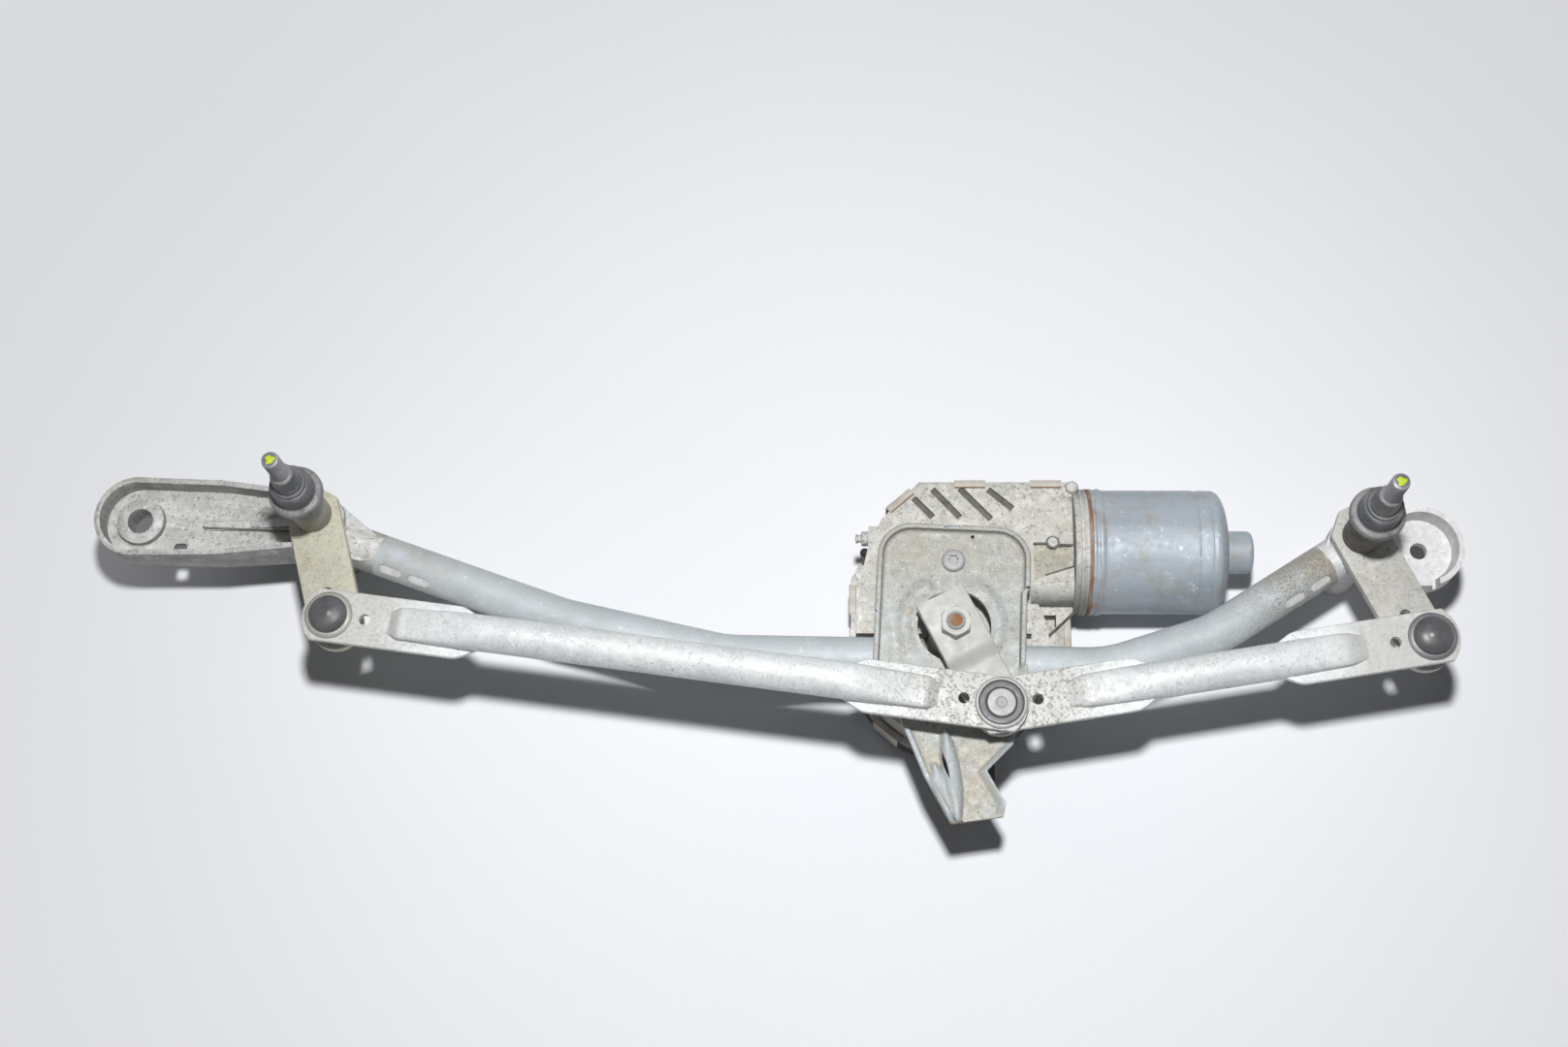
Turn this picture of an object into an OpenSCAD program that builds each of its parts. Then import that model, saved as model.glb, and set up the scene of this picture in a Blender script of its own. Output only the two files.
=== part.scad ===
// Wiper linkage with its motor: a bent tube frame, two spindles, two push rods and a geared drive.
// +X runs along the frame, +Z along the spindles. The origin is on the output shaft's axis, on the
// plane that the gear cover and both bearing sleeves stand on.

/* [Linkage] */
// Output shaft to middle pivot
crank_len = 43.5; // [42.5:0.25:44]
// Left spindle to its ball
left_lever_len = 56; // [54:0.5:58]
// Right spindle to its ball
right_lever_len = 58; // [56:0.5:60]
// Thickness of the levers
lever_t = 5; // [4:0.25:5.5]
// Half width of the levers
lever_half_w = 12.6; // [11:0.2:13.5]
// Thickness of the crank arm
crank_t = 4.5; // [4:0.25:4.5]

/* [Push rods] */
// Thickness of the pressed flats
rod_flat_t = 3; // [2.5:0.1:3.2]
// Half width of the pressed flats
rod_half_w = 12.5; // [12.2:0.1:13]
// Outer radius of the rods' tubes
rod_tube_r = 8.5; // [7.5:0.1:9]
// Wall of the rods' tubes
rod_wall = 1.6; // [1.2:0.1:2.5]

/* [Frame] */
// Outer radius of the frame tubes
tube_r = 10; // [9.4:0.1:10]
// Wall of the frame tubes
tube_wall = 1.5; // [1.2:0.1:2]
// Bend radius of the frame tubes, to the centre line
tube_bend = 60; // [45:1:70]
// Top of the motor plate above the rest plane
plate_top = 60; // [60:0.25:61]
// Thickness of the motor plate's sheet
plate_t = 2.5; // [2:0.1:2.5]
// Height of the motor plate's turned-up rim
rim_h = 3.5; // [2.5:0.1:3.6]
// Radius of the left mounting eye's hole
left_eye_r = 6.25; // [5:0.25:7]
// Radius of the right mounting eye's hole
right_eye_r = 4; // [3:0.25:5]
// Outer radius of the bearing sleeves
sleeve_r = 10.5; // [10:0.1:11.5]

/* [Spindles] */
// Radius of the spindle shafts
shaft_r = 6; // [5.6:0.1:6.2]
// Lever top to spindle tip
spindle_rise = 76; // [72:0.5:82]
// Radius of the spindle and crank threads
thread_r = 4; // [3.5:0.1:4.3]

/* [Motor] */
// Outer radius of the motor can
can_r = 30; // [29:0.1:30]
// End of the motor can along X
can_end = 132; // [130:0.5:140]
// Teeth on the worm wheel
wheel_teeth = 60; // [60:1:60]
// Thickness of the worm wheel
wheel_t = 7; // [5:0.25:7]

/* [Hidden] */
$fn = 48;

// Named clearances
fit = 0.03;
gap = 0.3;
cut = 1;

// Pivots in plan, with the linkage as it rests
crank_dir = -63;
left_dir = -74;
right_dir = -64.5;
left_axis = [-305, 55.5];
right_axis = [190.5, 46];
function polar(p, r, a) = p + r * [cos(a), sin(a)];
function heading(p, q) = atan2(q[1] - p[1], q[0] - p[0]);
middle = polar([0, 0], crank_len, crank_dir);
left_ball = polar(left_axis, left_lever_len, left_dir);
right_ball = polar(right_axis, right_lever_len, right_dir);
left_eye = [-393.7, 57];
left_waist = [-354, 56.4];
right_cup = [220.5, 43.3];

// Frame tubes in plan, from the plate outwards
left_path = [[-22, -10], [-108, -8.5], [-185, 9], [-275, 41]];
right_path = [[22, -13.4], [72, -14.5], [122, 2], [176, 36.5]];
tube_z = plate_top - plate_t - tube_r;
tube_bore = tube_r - tube_wall;
spigot_len = 34;

// Heights of the moving plates
crank_low = plate_top + rim_h + 0.5;
crank_drop = 4;
hub_low = crank_low + crank_drop;
hub_top = hub_low + crank_t;
right_flat = hub_top + 1;
left_flat = right_flat + rod_flat_t + 1;
pivot_top = left_flat + rod_flat_t + 1.5;
left_sleeve_top = plate_top + 0.5;
right_sleeve_top = plate_top - 2.5;
washer_t = 0.9;
left_lever_z = left_sleeve_top + 1;
right_lever_z = right_sleeve_top + 1;
left_lever_top = left_lever_z + lever_t;
right_lever_top = right_lever_z + lever_t;

// Sockets on the levers' balls, with room for the swing of the opened pivots
ball_r = 5.5;
stem_r = 5.8;
pivot_play = 2.1;
end_hole_r = stem_r + pivot_play + gap;
ring_r = 11.2;
socket_r = 10.2;
journal_r = 6.5;
rod_hole_r = 2.6;

// Drive
chamber_r = 43;
wheel_gap = 1.8;
tooth_tip = 0.7;
tooth_root = 1.5;
wheel_r = chamber_r - wheel_gap - tooth_tip;
worm_pitch_r = 7.5;
motor_y = wheel_r + worm_pitch_r;
motor_z = 31;
pitch = 2 * PI * wheel_r / wheel_teeth;
worm_lift = 1.2;
worm_turns = 8;
chamber_wall = 3;
flange_w = 3;
chamber_top = 37;
edge_r = chamber_r + chamber_wall + flange_w;
cover_top = 12;
base_top = 24;
box_top = 46;
box_right = 60;
box_back = motor_y + can_r + 1;
wall_in = 4;
base = [[-48.6, 2], [57, 2], [57, box_back], [-15.5, box_back], [-35.5, 61.5], [-48.6, 36]];
base_inner = [[-44.6, 6], [53, 6], [53, box_back - wall_in], [-14, box_back - wall_in],
  [-32.4, 59], [-44.6, 34.8]];
step_x = 37;
neck_y = 29;
box = [[-46, 3], [step_x, 3], [step_x, neck_y], [box_right, neck_y], [box_right, box_back],
  [-15.5, box_back], [-33.5, 60.5], [-40, 47], [-43.5, 31]];
bevel_r = 10;
pocket = [[39, 47.9], [57.5, 47.5], [57.5, 36], [39, 29.6]];
web = [[step_x - 1, 0.5], [step_x + 3, 0.5], [61, 20.5], [61, 24], [step_x - 1, 24]];
slots = [[[-18.2, 70.8], [-9, 61]], [[-9.1, 75.3], [4, 61]],
  [[4, 75.8], [19, 60]], [[17.8, 75.2], [29.4, 65.4]]];
screw_spots = [[0, 34.5], [17, -30.5], [-17, -30.5]];
screw_r = 2.5;
drive_r = 6;
rotor_r = 4;
rotor_start = -30;
bore_r = 9.5;
flange_x = 58;
can_start = 66;
can_wall = 2.4;
boss_r = 10.35;
boss_end = can_end + 13;

// Plain shapes

// Two circles and the band between them, its sides just inside their common tangents
tangent_sink = 0.05;
module link2d(p, rp, q, rq) {
  a = heading(p, q);
  b = acos((rp - rq) / norm(q - p));
  u = rp - tangent_sink;
  v = rq - tangent_sink;
  polygon([polar(p, u, a + b), polar(q, v, a + b), polar(q, v, a - b), polar(p, u, a - b)]);
  translate(p) circle(rp);
  translate(q) circle(rq);
}

// Cylinder along X
module along_x(x0, x1, r) {
  translate([x0, motor_y, motor_z]) rotate([0, 90, 0]) cylinder(r = r, h = x1 - x0);
}

// Ring about Z
module ring(p, z0, z1, outer, inner) {
  translate([p[0], p[1], z0]) difference() {
    cylinder(r = outer, h = z1 - z0);
    translate([0, 0, -cut]) cylinder(r = inner, h = z1 - z0 + 2 * cut);
  }
}

// Ring about the motor's axis
module motor_ring(x0, x1, outer, inner) {
  difference() {
    along_x(x0, x1, outer);
    along_x(x0 - cut, x1 + cut, inner);
  }
}

// Ring with a gap, as a circlip has
module circlip(p, z0, z1, outer, inner) {
  difference() {
    ring(p, z0, z1, outer, inner);
    translate([p[0], p[1] - 1.5, z0 - cut]) cube([outer + cut, 3, z1 - z0 + 2 * cut]);
  }
}

// Stations of a frame tube in plan, each a point and a heading, with the bends in equal steps
bend_steps = 4;
tube_sides = 24;
function turn(pts, i) = heading(pts[i], pts[i + 1]) - heading(pts[i - 1], pts[i]);
function bend_stop(pts, i, f) =
  let (
    a = heading(pts[i - 1], pts[i]),
    t = turn(pts, i),
    side = t > 0 ? 90 : -90,
    start = polar(pts[i], -tube_bend * tan(abs(t) / 2), a),
    centre = polar(start, tube_bend, a + side)
  )
  [polar(centre, tube_bend, a - side + t * f), a + t * f];
function stations(pts) = let (last = len(pts) - 1) concat(
  [[pts[0], heading(pts[0], pts[1])]],
  [for (i = [1 : last - 1]) for (k = [0 : bend_steps]) bend_stop(pts, i, k / bend_steps)],
  [[pts[last], heading(pts[last - 1], pts[last])]]);
// Tube swept along stations: an outer and an inner skin, closed by a ring at each end
module bent_tube(stops, outer, inner) {
  n = tube_sides;
  last = len(stops) - 1;
  skin = n * (last + 1);
  points = [for (r = [outer, inner]) for (s = stops) for (j = [0 : n - 1])
    let (f = 360 * j / n, p = polar(s[0], r * cos(f), s[1] + 90)) [p[0], p[1], r * sin(f)]];
  sides = [for (i = [0 : last - 1]) for (j = [0 : n - 1])
    let (k = (j + 1) % n, a = i * n + j, b = a + n, c = i * n + n + k, d = i * n + k)
    each [[a, b, c], [a, c, d], [skin + a, skin + c, skin + b], [skin + a, skin + d, skin + c]]];
  ends = [for (i = [0, last]) for (j = [0 : n - 1])
    let (k = (j + 1) % n, a = i * n + j, b = i * n + k, c = skin + b, d = skin + a)
    each i == 0 ? [[a, b, c], [a, c, d]] : [[a, c, b], [a, d, c]]];
  polyhedron(points, concat(sides, ends));
}

// Frame

stake_l = 11.5;
stake_w = 4.8;
stake_turn = 48;
module frame_tube(pts, side) {
  last = len(pts) - 1;
  a = heading(pts[last - 1], pts[last]);
  translate([0, 0, tube_z]) difference() {
    bent_tube(stations(pts), tube_r, tube_bore);
    for (s = [-9, -24]) translate(polar(pts[last], s, a)) rotate(a) rotate([side * stake_turn, 0, 0])
      translate([-stake_l / 2, -stake_w / 2, 0]) cube([stake_l, stake_w, tube_r + cut]);
  }
}
module left_tube() color("#b9c2c6") frame_tube(left_path, -1);
module right_tube() color("#b9c2c6") frame_tube(right_path, 1);

// Arm with a flat web and spigot, from a sleeve into a frame tube's outer end
hub_r = 13.2;
web_half = tube_r - 2;
module spigot(pts, axis) {
  last = len(pts) - 1;
  end = pts[last];
  a = heading(pts[last - 1], end);
  back = norm(axis - end) - 4;
  translate([end[0], end[1], tube_z]) rotate([0, 90, a]) cylinder(r = tube_r, h = back);
  translate([0, 0, tube_z]) linear_extrude(web_half)
    link2d(axis, hub_r, polar(end, web_half + gap, a), web_half);
  translate([end[0], end[1], tube_z]) rotate([0, -90, a])
    cylinder(r = tube_bore * cos(180 / tube_sides) - fit, h = spigot_len);
}

// Bore of a bearing sleeve, with its counterbore at the foot
bush_r = shaft_r + 2;
seat_top = 8;
module sleeve_bore(axis, top) {
  translate([axis[0], axis[1], seat_top - cut]) cylinder(r = bush_r, h = top);
  translate([axis[0], axis[1], -cut]) cylinder(r = bush_r + 0.3, h = seat_top + cut);
}

// Fin under a casting that runs out from a sleeve towards a point
module fin(axis, to, low, high) {
  a = heading(axis, to);
  reach = norm(to - axis);
  translate([axis[0], axis[1], 0]) rotate([90, 0, a]) translate([0, 0, -1.5])
    linear_extrude(3) polygon([[sleeve_r - 1, low], [reach, high], [sleeve_r - 1, high]]);
}

dish_low = plate_top - 15;
dish_floor = plate_top - 11;
rim_w = 2.6;
skirt_drop = 12;
boss_low = dish_low - 5;
boss_top = dish_floor + 3.5;
rib_start = -363;
rib_y = 55;
module left_dish(inset) {
  link2d(left_eye, 19.8 - inset, left_waist, 18.8 - inset);
  link2d(left_waist, 18.8 - inset, left_axis, hub_r - inset);
}
module left_bracket() color("#a9a9a4") difference() {
  union() {
    difference() {
      translate([0, 0, dish_low]) linear_extrude(left_sleeve_top - dish_low) left_dish(0);
      translate([0, 0, dish_floor]) linear_extrude(left_sleeve_top) left_dish(rim_w);
    }
    intersection() {
      translate([0, 0, dish_low - skirt_drop]) linear_extrude(skirt_drop + cut) difference() {
        left_dish(0);
        left_dish(rim_w);
      }
      translate([0, left_eye[1] + 25, 0]) rotate([90, 0, 0]) linear_extrude(50) polygon([
        [left_eye[0], dish_low + cut], [left_eye[0], dish_low - 1],
        [left_axis[0], dish_low - skirt_drop], [left_axis[0], dish_low + cut]]);
    }
    translate([left_eye[0], left_eye[1], boss_low])
      cylinder(r1 = 12.4, r2 = 11.4, h = boss_top - boss_low);
    translate([0, rib_y + 2, 0]) rotate([90, 0, 0]) linear_extrude(4) polygon([
      [rib_start, dish_floor - cut], [left_axis[0], dish_floor - cut],
      [left_axis[0], left_sleeve_top - 1.5], [rib_start, dish_floor + 0.6]]);
    translate([left_axis[0], left_axis[1], dish_low])
      cylinder(r = hub_r, h = left_sleeve_top - dish_low);
    translate([left_axis[0], left_axis[1], 0]) cylinder(r = sleeve_r, h = left_sleeve_top);
    fin(left_axis, left_waist, 14, dish_low + 1);
    spigot(left_path, left_axis);
  }
  sleeve_bore(left_axis, left_sleeve_top);
  translate([left_eye[0], left_eye[1], 0]) cylinder(r = left_eye_r, h = plate_top);
  translate([-373.6, 43.5, 0]) cylinder(r = 2, h = plate_top);
}

cup_low = plate_top - 16;
cup_floor = plate_top - 12;
module right_bracket() color("#a9a9a4") difference() {
  union() {
    difference() {
      union() {
        translate([right_cup[0], right_cup[1], cup_low])
          cylinder(r = 19.6, h = right_sleeve_top - 1 - cup_low);
        translate([0, 0, cup_low]) linear_extrude(8) link2d(right_cup, 16, right_axis, hub_r);
      }
      translate([right_cup[0], right_cup[1], cup_floor])
        cylinder(r1 = 15.4, r2 = 17.2, h = right_sleeve_top - 1 - cup_floor + cut);
      translate([right_cup[0] + 3, right_cup[1] - 21, cup_floor]) cube([3.5, 8, plate_top]);
    }
    translate([right_axis[0], right_axis[1], cup_low])
      cylinder(r = hub_r, h = right_sleeve_top - cup_low);
    translate([right_axis[0], right_axis[1], 0]) cylinder(r = sleeve_r, h = right_sleeve_top);
    fin(right_axis, polar(right_cup, -right_eye_r - 3, heading(right_axis, right_cup)), 14, cup_low + 1);
    spigot(right_path, right_axis);
  }
  sleeve_bore(right_axis, right_sleeve_top);
  translate([right_cup[0], right_cup[1], 0]) cylinder(r = right_eye_r, h = plate_top);
}

// Motor plate: rounded tray, foot and rims
tray_l = -36.6;
tray_r = 35.4;
tray_top = 51.6;
tray_low = -20;
corner = 16;
tray_mid = [0, 16];
tray_turn = -2.6;
module tray2d(inset, low) translate(tray_mid) rotate(tray_turn) translate(-tray_mid) {
  translate([tray_l + inset, low])
    square([tray_r - tray_l - 2 * inset, tray_top - corner - low]);
  translate([tray_l + corner, tray_top - corner])
    square([tray_r - tray_l - 2 * corner, corner - inset]);
  for (x = [tray_l + corner, tray_r - corner])
    translate([x, tray_top - corner]) circle(corner - inset);
}
foot_left = [[tray_l + 2, tray_low + 1], [-24.3, -45], [-14.8, -68.4], [-3, -90]];
foot_right = [[20.7, -86.6], [22.4, -80.7], [13.5, -65.6], [26.1, -53.4], [tray_r - 2, tray_low + 1]];
foot = concat(foot_left, foot_right);
shaft_hole = [0, 2.6];
// Point that lies d to the left of a row of points at its corner i
function beside(pts, i, d) =
  let (
    last = len(pts) - 1,
    a = heading(pts[max(i - 1, 0)], pts[max(i, 1)]),
    b = heading(pts[min(i, last - 1)], pts[min(i + 1, last)])
  )
  polar(pts[i], d / cos((b - a) / 2), (a + b) / 2 + 90);
// Turned-up edge of the foot along a row of points
module foot_rim(pts) {
  last = len(pts) - 1;
  translate([0, 0, plate_top - cut]) linear_extrude(rim_h + cut)
    polygon(concat(pts, [for (i = [last : -1 : 0]) beside(pts, i, plate_t)]));
}
module motor_plate() color("#c3c6c2") difference() {
  union() {
    translate([0, 0, plate_top - plate_t]) linear_extrude(plate_t) {
      tray2d(0, tray_low);
      polygon(foot);
    }
    difference() {
      translate([0, 0, plate_top - cut]) linear_extrude(rim_h + cut) tray2d(0, tray_low);
      translate([0, 0, plate_top - 2 * cut]) linear_extrude(rim_h + 4) tray2d(plate_t, tray_low - cut);
      translate([-4, tray_top - 5, plate_top]) cube([8, 10, rim_h + cut]);
    }
    foot_rim(foot_left);
    foot_rim([for (i = [0 : 3]) foot_right[i]]);
    for (s = [20, 104]) translate([0, shaft_hole[1], plate_top - cut]) rotate(s)
      rotate_extrude(angle = 56) translate([18.5, 0]) square([8.5, cut + 1]);
    translate([0, 0, plate_top - cut]) linear_extrude(cut + 2.4)
      link2d([-4, -53], 4, [0, -84], 3.4);
    for (side = [[tray_l + 3, -10], [tray_r - 5.5, -13.6]])
      translate([side[0], side[1] - tube_r - 2, tube_z - 4])
        cube([2.5, 2 * tube_r + 4, tube_r + 4 + cut]);
  }
  translate([shaft_hole[0], shaft_hole[1], plate_top - 5]) cylinder(r = 17, h = 12);
  for (s = screw_spots) translate([s[0], s[1], plate_top - 5]) cylinder(r = screw_r + 0.3, h = 12);
  for (pts = [left_path, right_path]) translate([pts[0][0], pts[0][1], tube_z])
    rotate([0, 90, heading(pts[0], pts[1])]) cylinder(r = tube_r, h = 20);
  translate([-9, -70, plate_top - 5]) rotate(-72) cube([14, 2.5, 9]);
}

screw_head_r = 5.5;
module motor_screws() color("#c9cdd0") for (s = screw_spots) translate([s[0], s[1], plate_top]) {
  difference() {
    cylinder(r1 = screw_head_r, r2 = screw_head_r - 0.8, h = 2.6);
    translate([0, 0, 1]) cylinder(r = 2.4, h = 3, $fn = 6);
  }
  translate([0, 0, -plate_t - 9]) cylinder(r = screw_r - fit, h = plate_t + 9 + 0.5);
}

// Motor gearbox

module housing_outline() {
  circle(edge_r);
  polygon(base);
}
module housing_inside() {
  circle(chamber_r);
  polygon(base_inner);
}
neck_r = 12;
neck_top = plate_top - 1.6;
pad_x = -40;
module gear_housing() color("#b3b1aa") difference() {
  union() {
    translate([0, 0, cover_top]) cylinder(r = chamber_r + chamber_wall, h = chamber_top - cover_top);
    translate([0, 0, cover_top]) linear_extrude(3) housing_outline();
    translate([0, 0, cover_top]) linear_extrude(base_top - cover_top) polygon(base);
    translate([0, 0, base_top - cut]) linear_extrude(box_top - base_top + cut) polygon(box);
    translate([step_x - cut, neck_y + 1, box_top - bevel_r]) rotate([0, 90, 0])
      cylinder(r = bevel_r, h = box_right - step_x + cut);
    translate([step_x - cut, neck_y + 1 - bevel_r, base_top - cut])
      cube([box_right - step_x + cut, bevel_r, box_top - bevel_r - base_top + cut]);
    translate([0, 0, base_top - cut]) linear_extrude(8 + cut) difference() {
      polygon(web);
      translate([step_x + 4, 10]) square([9, 6]);
    }
    translate([pad_x, 42, base_top - cut]) cube([6, 15, box_top - base_top - 0.5]);
    translate([0, 0, chamber_top - cut]) cylinder(r = neck_r, h = neck_top - chamber_top + cut);
    for (s = screw_spots) translate([s[0], s[1], chamber_top - cut])
      cylinder(r = 6, h = plate_top - plate_t - chamber_top + cut);
    along_x(flange_x, can_start, can_r);
    translate([48.3, 48.8, box_top - cut]) cylinder(r = 2.3, h = cut + 0.5);
  }
  translate([0, 0, cover_top - cut]) cylinder(r = chamber_r, h = 23 + cut);
  translate([0, 0, cover_top - cut]) linear_extrude(8 + cut) polygon(base_inner);
  translate([0, 0, cover_top]) cylinder(r = drive_r + 2, h = plate_top);
  along_x(rotor_start - cut, can_start + cut, bore_r);
  along_x(flange_x + 3.5, can_start + cut, 24);
  for (s = screw_spots) translate([s[0], s[1], plate_top - plate_t - 11]) cylinder(r = screw_r, h = 20);
  translate([0, 0, box_top - 1.5]) linear_extrude(4) polygon(pocket);
  for (s = slots) translate([s[0][0], s[0][1], box_top - 3]) rotate(heading(s[0], s[1]))
    translate([0, -1.6, 0]) cube([norm(s[1] - s[0]), 3.2, 6]);
}

// Connector at the cover's front edge, with its socket open to the front
plug_x = 7.5;
plug_half_w = 12.5;
plug_front = -edge_r - 16;
plug_top = 20;
plug_wall = 2.5;
socket_end = plug_front + 13;
module gear_cover() color("#2b2c2e") difference() {
  union() {
    linear_extrude(cover_top - 1) housing_outline();
    translate([plug_x - plug_half_w, plug_front, 0])
      cube([2 * plug_half_w, chamber_r / 2, cover_top - 1]);
    translate([plug_x - plug_half_w, plug_front, 0])
      cube([2 * plug_half_w, -edge_r - gap - plug_front, plug_top]);
  }
  translate([0, 0, plug_wall]) linear_extrude(cover_top) housing_inside();
  translate([plug_x - plug_half_w + plug_wall, plug_front - cut, plug_wall + 0.5])
    cube([2 * (plug_half_w - plug_wall), socket_end - plug_front + cut, plug_top - 2 * plug_wall - 0.5]);
  pin_row(fit);
}

module cover_seal() color("#1e1f20") difference() {
  translate([0, 0, cover_top - 1]) linear_extrude(1) housing_outline();
  translate([0, 0, cover_top - 2]) linear_extrude(3) housing_inside();
}

// Spring clips over the flange of the housing and the cover
clip_w = 15;
clip_low = 4;
clip_spots = [
  concat(polar([0, 0], edge_r, 230), [230, cover_top + 5]), [-48.6, 26.2, 180, base_top + 2.5],
  concat((base[3] + base[4]) / 2, [heading(base[4], base[3]) + 90, box_top - 0.6]),
  [9, box_back, 90, box_top - 0.6],
  [45.6, box_back, 90, box_top - 0.6], [57, 9, 0, base_top + 2.5]
];
module cover_clips() color("#c8bfae") for (c = clip_spots) {
  translate([c[0], c[1], 0]) rotate([90, 0, c[2]]) translate([0, 0, -clip_w / 2])
    linear_extrude(clip_w)
      polygon([[0, clip_low], [0.8, clip_low], [0.8, c[3]], [0, c[3]]]);
}

board_low = 6;
board_t = 1.6;
board_half_w = 0.7 * chamber_r;
board_half_d = 0.58 * chamber_r;
module control_board() color("#2f6b3f") difference() {
  translate([-board_half_w, -board_half_d, board_low])
    cube([2 * board_half_w, 2 * board_half_d, board_t]);
  translate([0, 0, board_low - cut]) cylinder(r = drive_r + 3, h = board_t + 2 * cut);
}
// Row of flat pins that runs through the cover's wall to the board
pin_w = 1.4;
pin_t = 0.8;
pin_start = socket_end - 8;
module pin_row(grow) for (i = [-1.5 : 1 : 1.5])
  translate([plug_x + 5 * i - pin_w / 2 - grow, pin_start, board_low + board_t - grow])
    cube([pin_w + 2 * grow, -board_half_d + 1 - pin_start, pin_t + 2 * grow]);
module connector_pins() color("#c9a94f") pin_row(0);

module breather() color("#8f918f") {
  translate([pad_x, 52, 40]) rotate([0, -90, 0]) cylinder(r = 3.6, h = 3.6);
  translate([pad_x - 3.6, 52, 40]) rotate([0, -90, 0]) cylinder(r = 1.8, h = 2.8);
}

// Motor

// Width and height of the rounding at the can's end
dome_w = can_r - boss_r - 1.5;
dome_h = 7;
module can_profile() {
  polygon(concat(
    [[can_r + 0.8, can_start], [can_r + 0.8, can_start + 5], [can_r, can_start + 6]],
    [for (a = [0 : 15 : 90]) [can_r - dome_w + dome_w * cos(a), can_end - dome_h + dome_h * sin(a)]],
    [[boss_r, can_end], [boss_r, boss_end - 1.5], [boss_r - 1.5, boss_end], [0, boss_end]],
    [[0, boss_end - 2], [boss_r - 2.2, boss_end - 2], [boss_r - 2.2, can_end - can_wall]],
    [for (a = [90 : -15 : 0]) [can_r - dome_w + (dome_w - can_wall) * cos(a),
      can_end - dome_h + (dome_h - can_wall) * sin(a)]],
    [[can_r - can_wall, can_start]]
  ));
}
module motor_can() color("#9fb0ba") translate([0, motor_y, motor_z]) rotate([0, 90, 0])
  rotate_extrude() can_profile();
module can_seal() color("#7a4a2c") motor_ring(can_start - 1.2, can_start, can_r + 0.8, can_r + fit);
magnet_r = can_r - can_wall - fit;
magnet_t = 4.6;
air_gap = 0.6;
module magnets() color("#3b3b3d") translate([can_start + 12, motor_y, motor_z]) rotate([0, 90, 0])
  for (i = [0 : 3]) rotate(90 * i + 10) rotate_extrude(angle = 70)
    translate([magnet_r - magnet_t, 0]) square([magnet_t, can_end - can_start - 22]);
core_r = magnet_r - magnet_t - air_gap;
core_start = can_start + 16;
core_end = can_end - 14;
core_hub = core_r / 2 + 0.8;
module armature_core() color("#6d6f72") translate([core_start, motor_y, motor_z]) rotate([0, 90, 0])
  linear_extrude(core_end - core_start) difference() {
    circle(core_r);
    circle(rotor_r + fit);
    for (i = [0 : 11]) rotate(30 * i) translate([core_hub, -1.3]) square([core_r, 2.6]);
  }
module windings() color("#b5682e") {
  motor_ring(core_end, core_end + 7, core_r - 2, rotor_r + 2);
  motor_ring(core_start - 6.5, core_start, core_r - 2, rotor_r + 2);
}
brush_ring = 10;
module commutator() color("#b8763f")
  motor_ring(can_start - 3.5, can_start + 8.5, brush_ring, rotor_r + fit);
module armature_shaft() color("#c4c7ca") along_x(rotor_start, boss_end - 4, rotor_r);
module front_bearing() color("#a98c55") motor_ring(flange_x - 12, flange_x - 2, bore_r, rotor_r + fit);
module rear_bearing() color("#a98c55") motor_ring(can_end - 1, boss_end - 3, boss_r - 2.2, rotor_r + fit);
module brush_holder() color("#3a3026") difference() {
  motor_ring(can_start + 0.2, can_start + 3, can_r - can_wall - fit, brush_ring + 1);
  for (a = [0, 180]) translate([0, motor_y, motor_z]) rotate([a, 0, 0])
    translate([can_start, -3, brush_ring]) cube([5, 6, 12]);
}
module brushes() color("#2a2a2a") for (a = [0, 180]) translate([0, motor_y, motor_z]) rotate([a, 0, 0])
  difference() {
    translate([can_start + 0.1, -3, brush_ring - 1]) cube([6, 6, 12]);
    translate([can_start - cut, 0, 0]) rotate([0, 90, 0]) cylinder(r = brush_ring + fit, h = 9);
  }

// Single-start worm: a circle off its axis, turned as it rises
module worm() color("#c4c7ca") difference() {
  translate([-worm_turns * pitch / 2, motor_y, motor_z]) rotate([0, 90, 0])
    linear_extrude(worm_turns * pitch, twist = -360 * worm_turns, slices = 10 * worm_turns,
      $fn = 16)
      rotate(-90) translate([worm_lift, 0]) circle(worm_pitch_r);
  along_x(-worm_turns * pitch, worm_turns * pitch, rotor_r + fit);
}

wheel_z = motor_z - wheel_t / 2;
module worm_wheel() color("#d8d3c2") translate([0, 0, wheel_z]) difference() {
  linear_extrude(wheel_t) polygon([for (i = [0 : wheel_teeth - 1]) for (c = [0 : 3])
    let (mid = 90 + 360 / wheel_teeth * (i + 0.5))
    let (half = c == 0 || c == 3 ? 1.35 : 0.35)
    let (r = c == 0 || c == 3 ? wheel_r - tooth_root : wheel_r + tooth_tip)
    polar([0, 0], r, mid + (c < 2 ? -1 : 1) * half / r * 180 / PI)]);
  translate([0, 0, -cut]) cylinder(r = drive_r + fit, h = wheel_t + 2 * cut);
  for (z = [-cut, wheel_t - 2]) translate([0, 0, z]) difference() {
    cylinder(r = wheel_r - 6.5, h = 2 + cut);
    cylinder(r = drive_r + 7, h = 3 * cut + 2);
  }
}

// Crank on the output shaft

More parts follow.
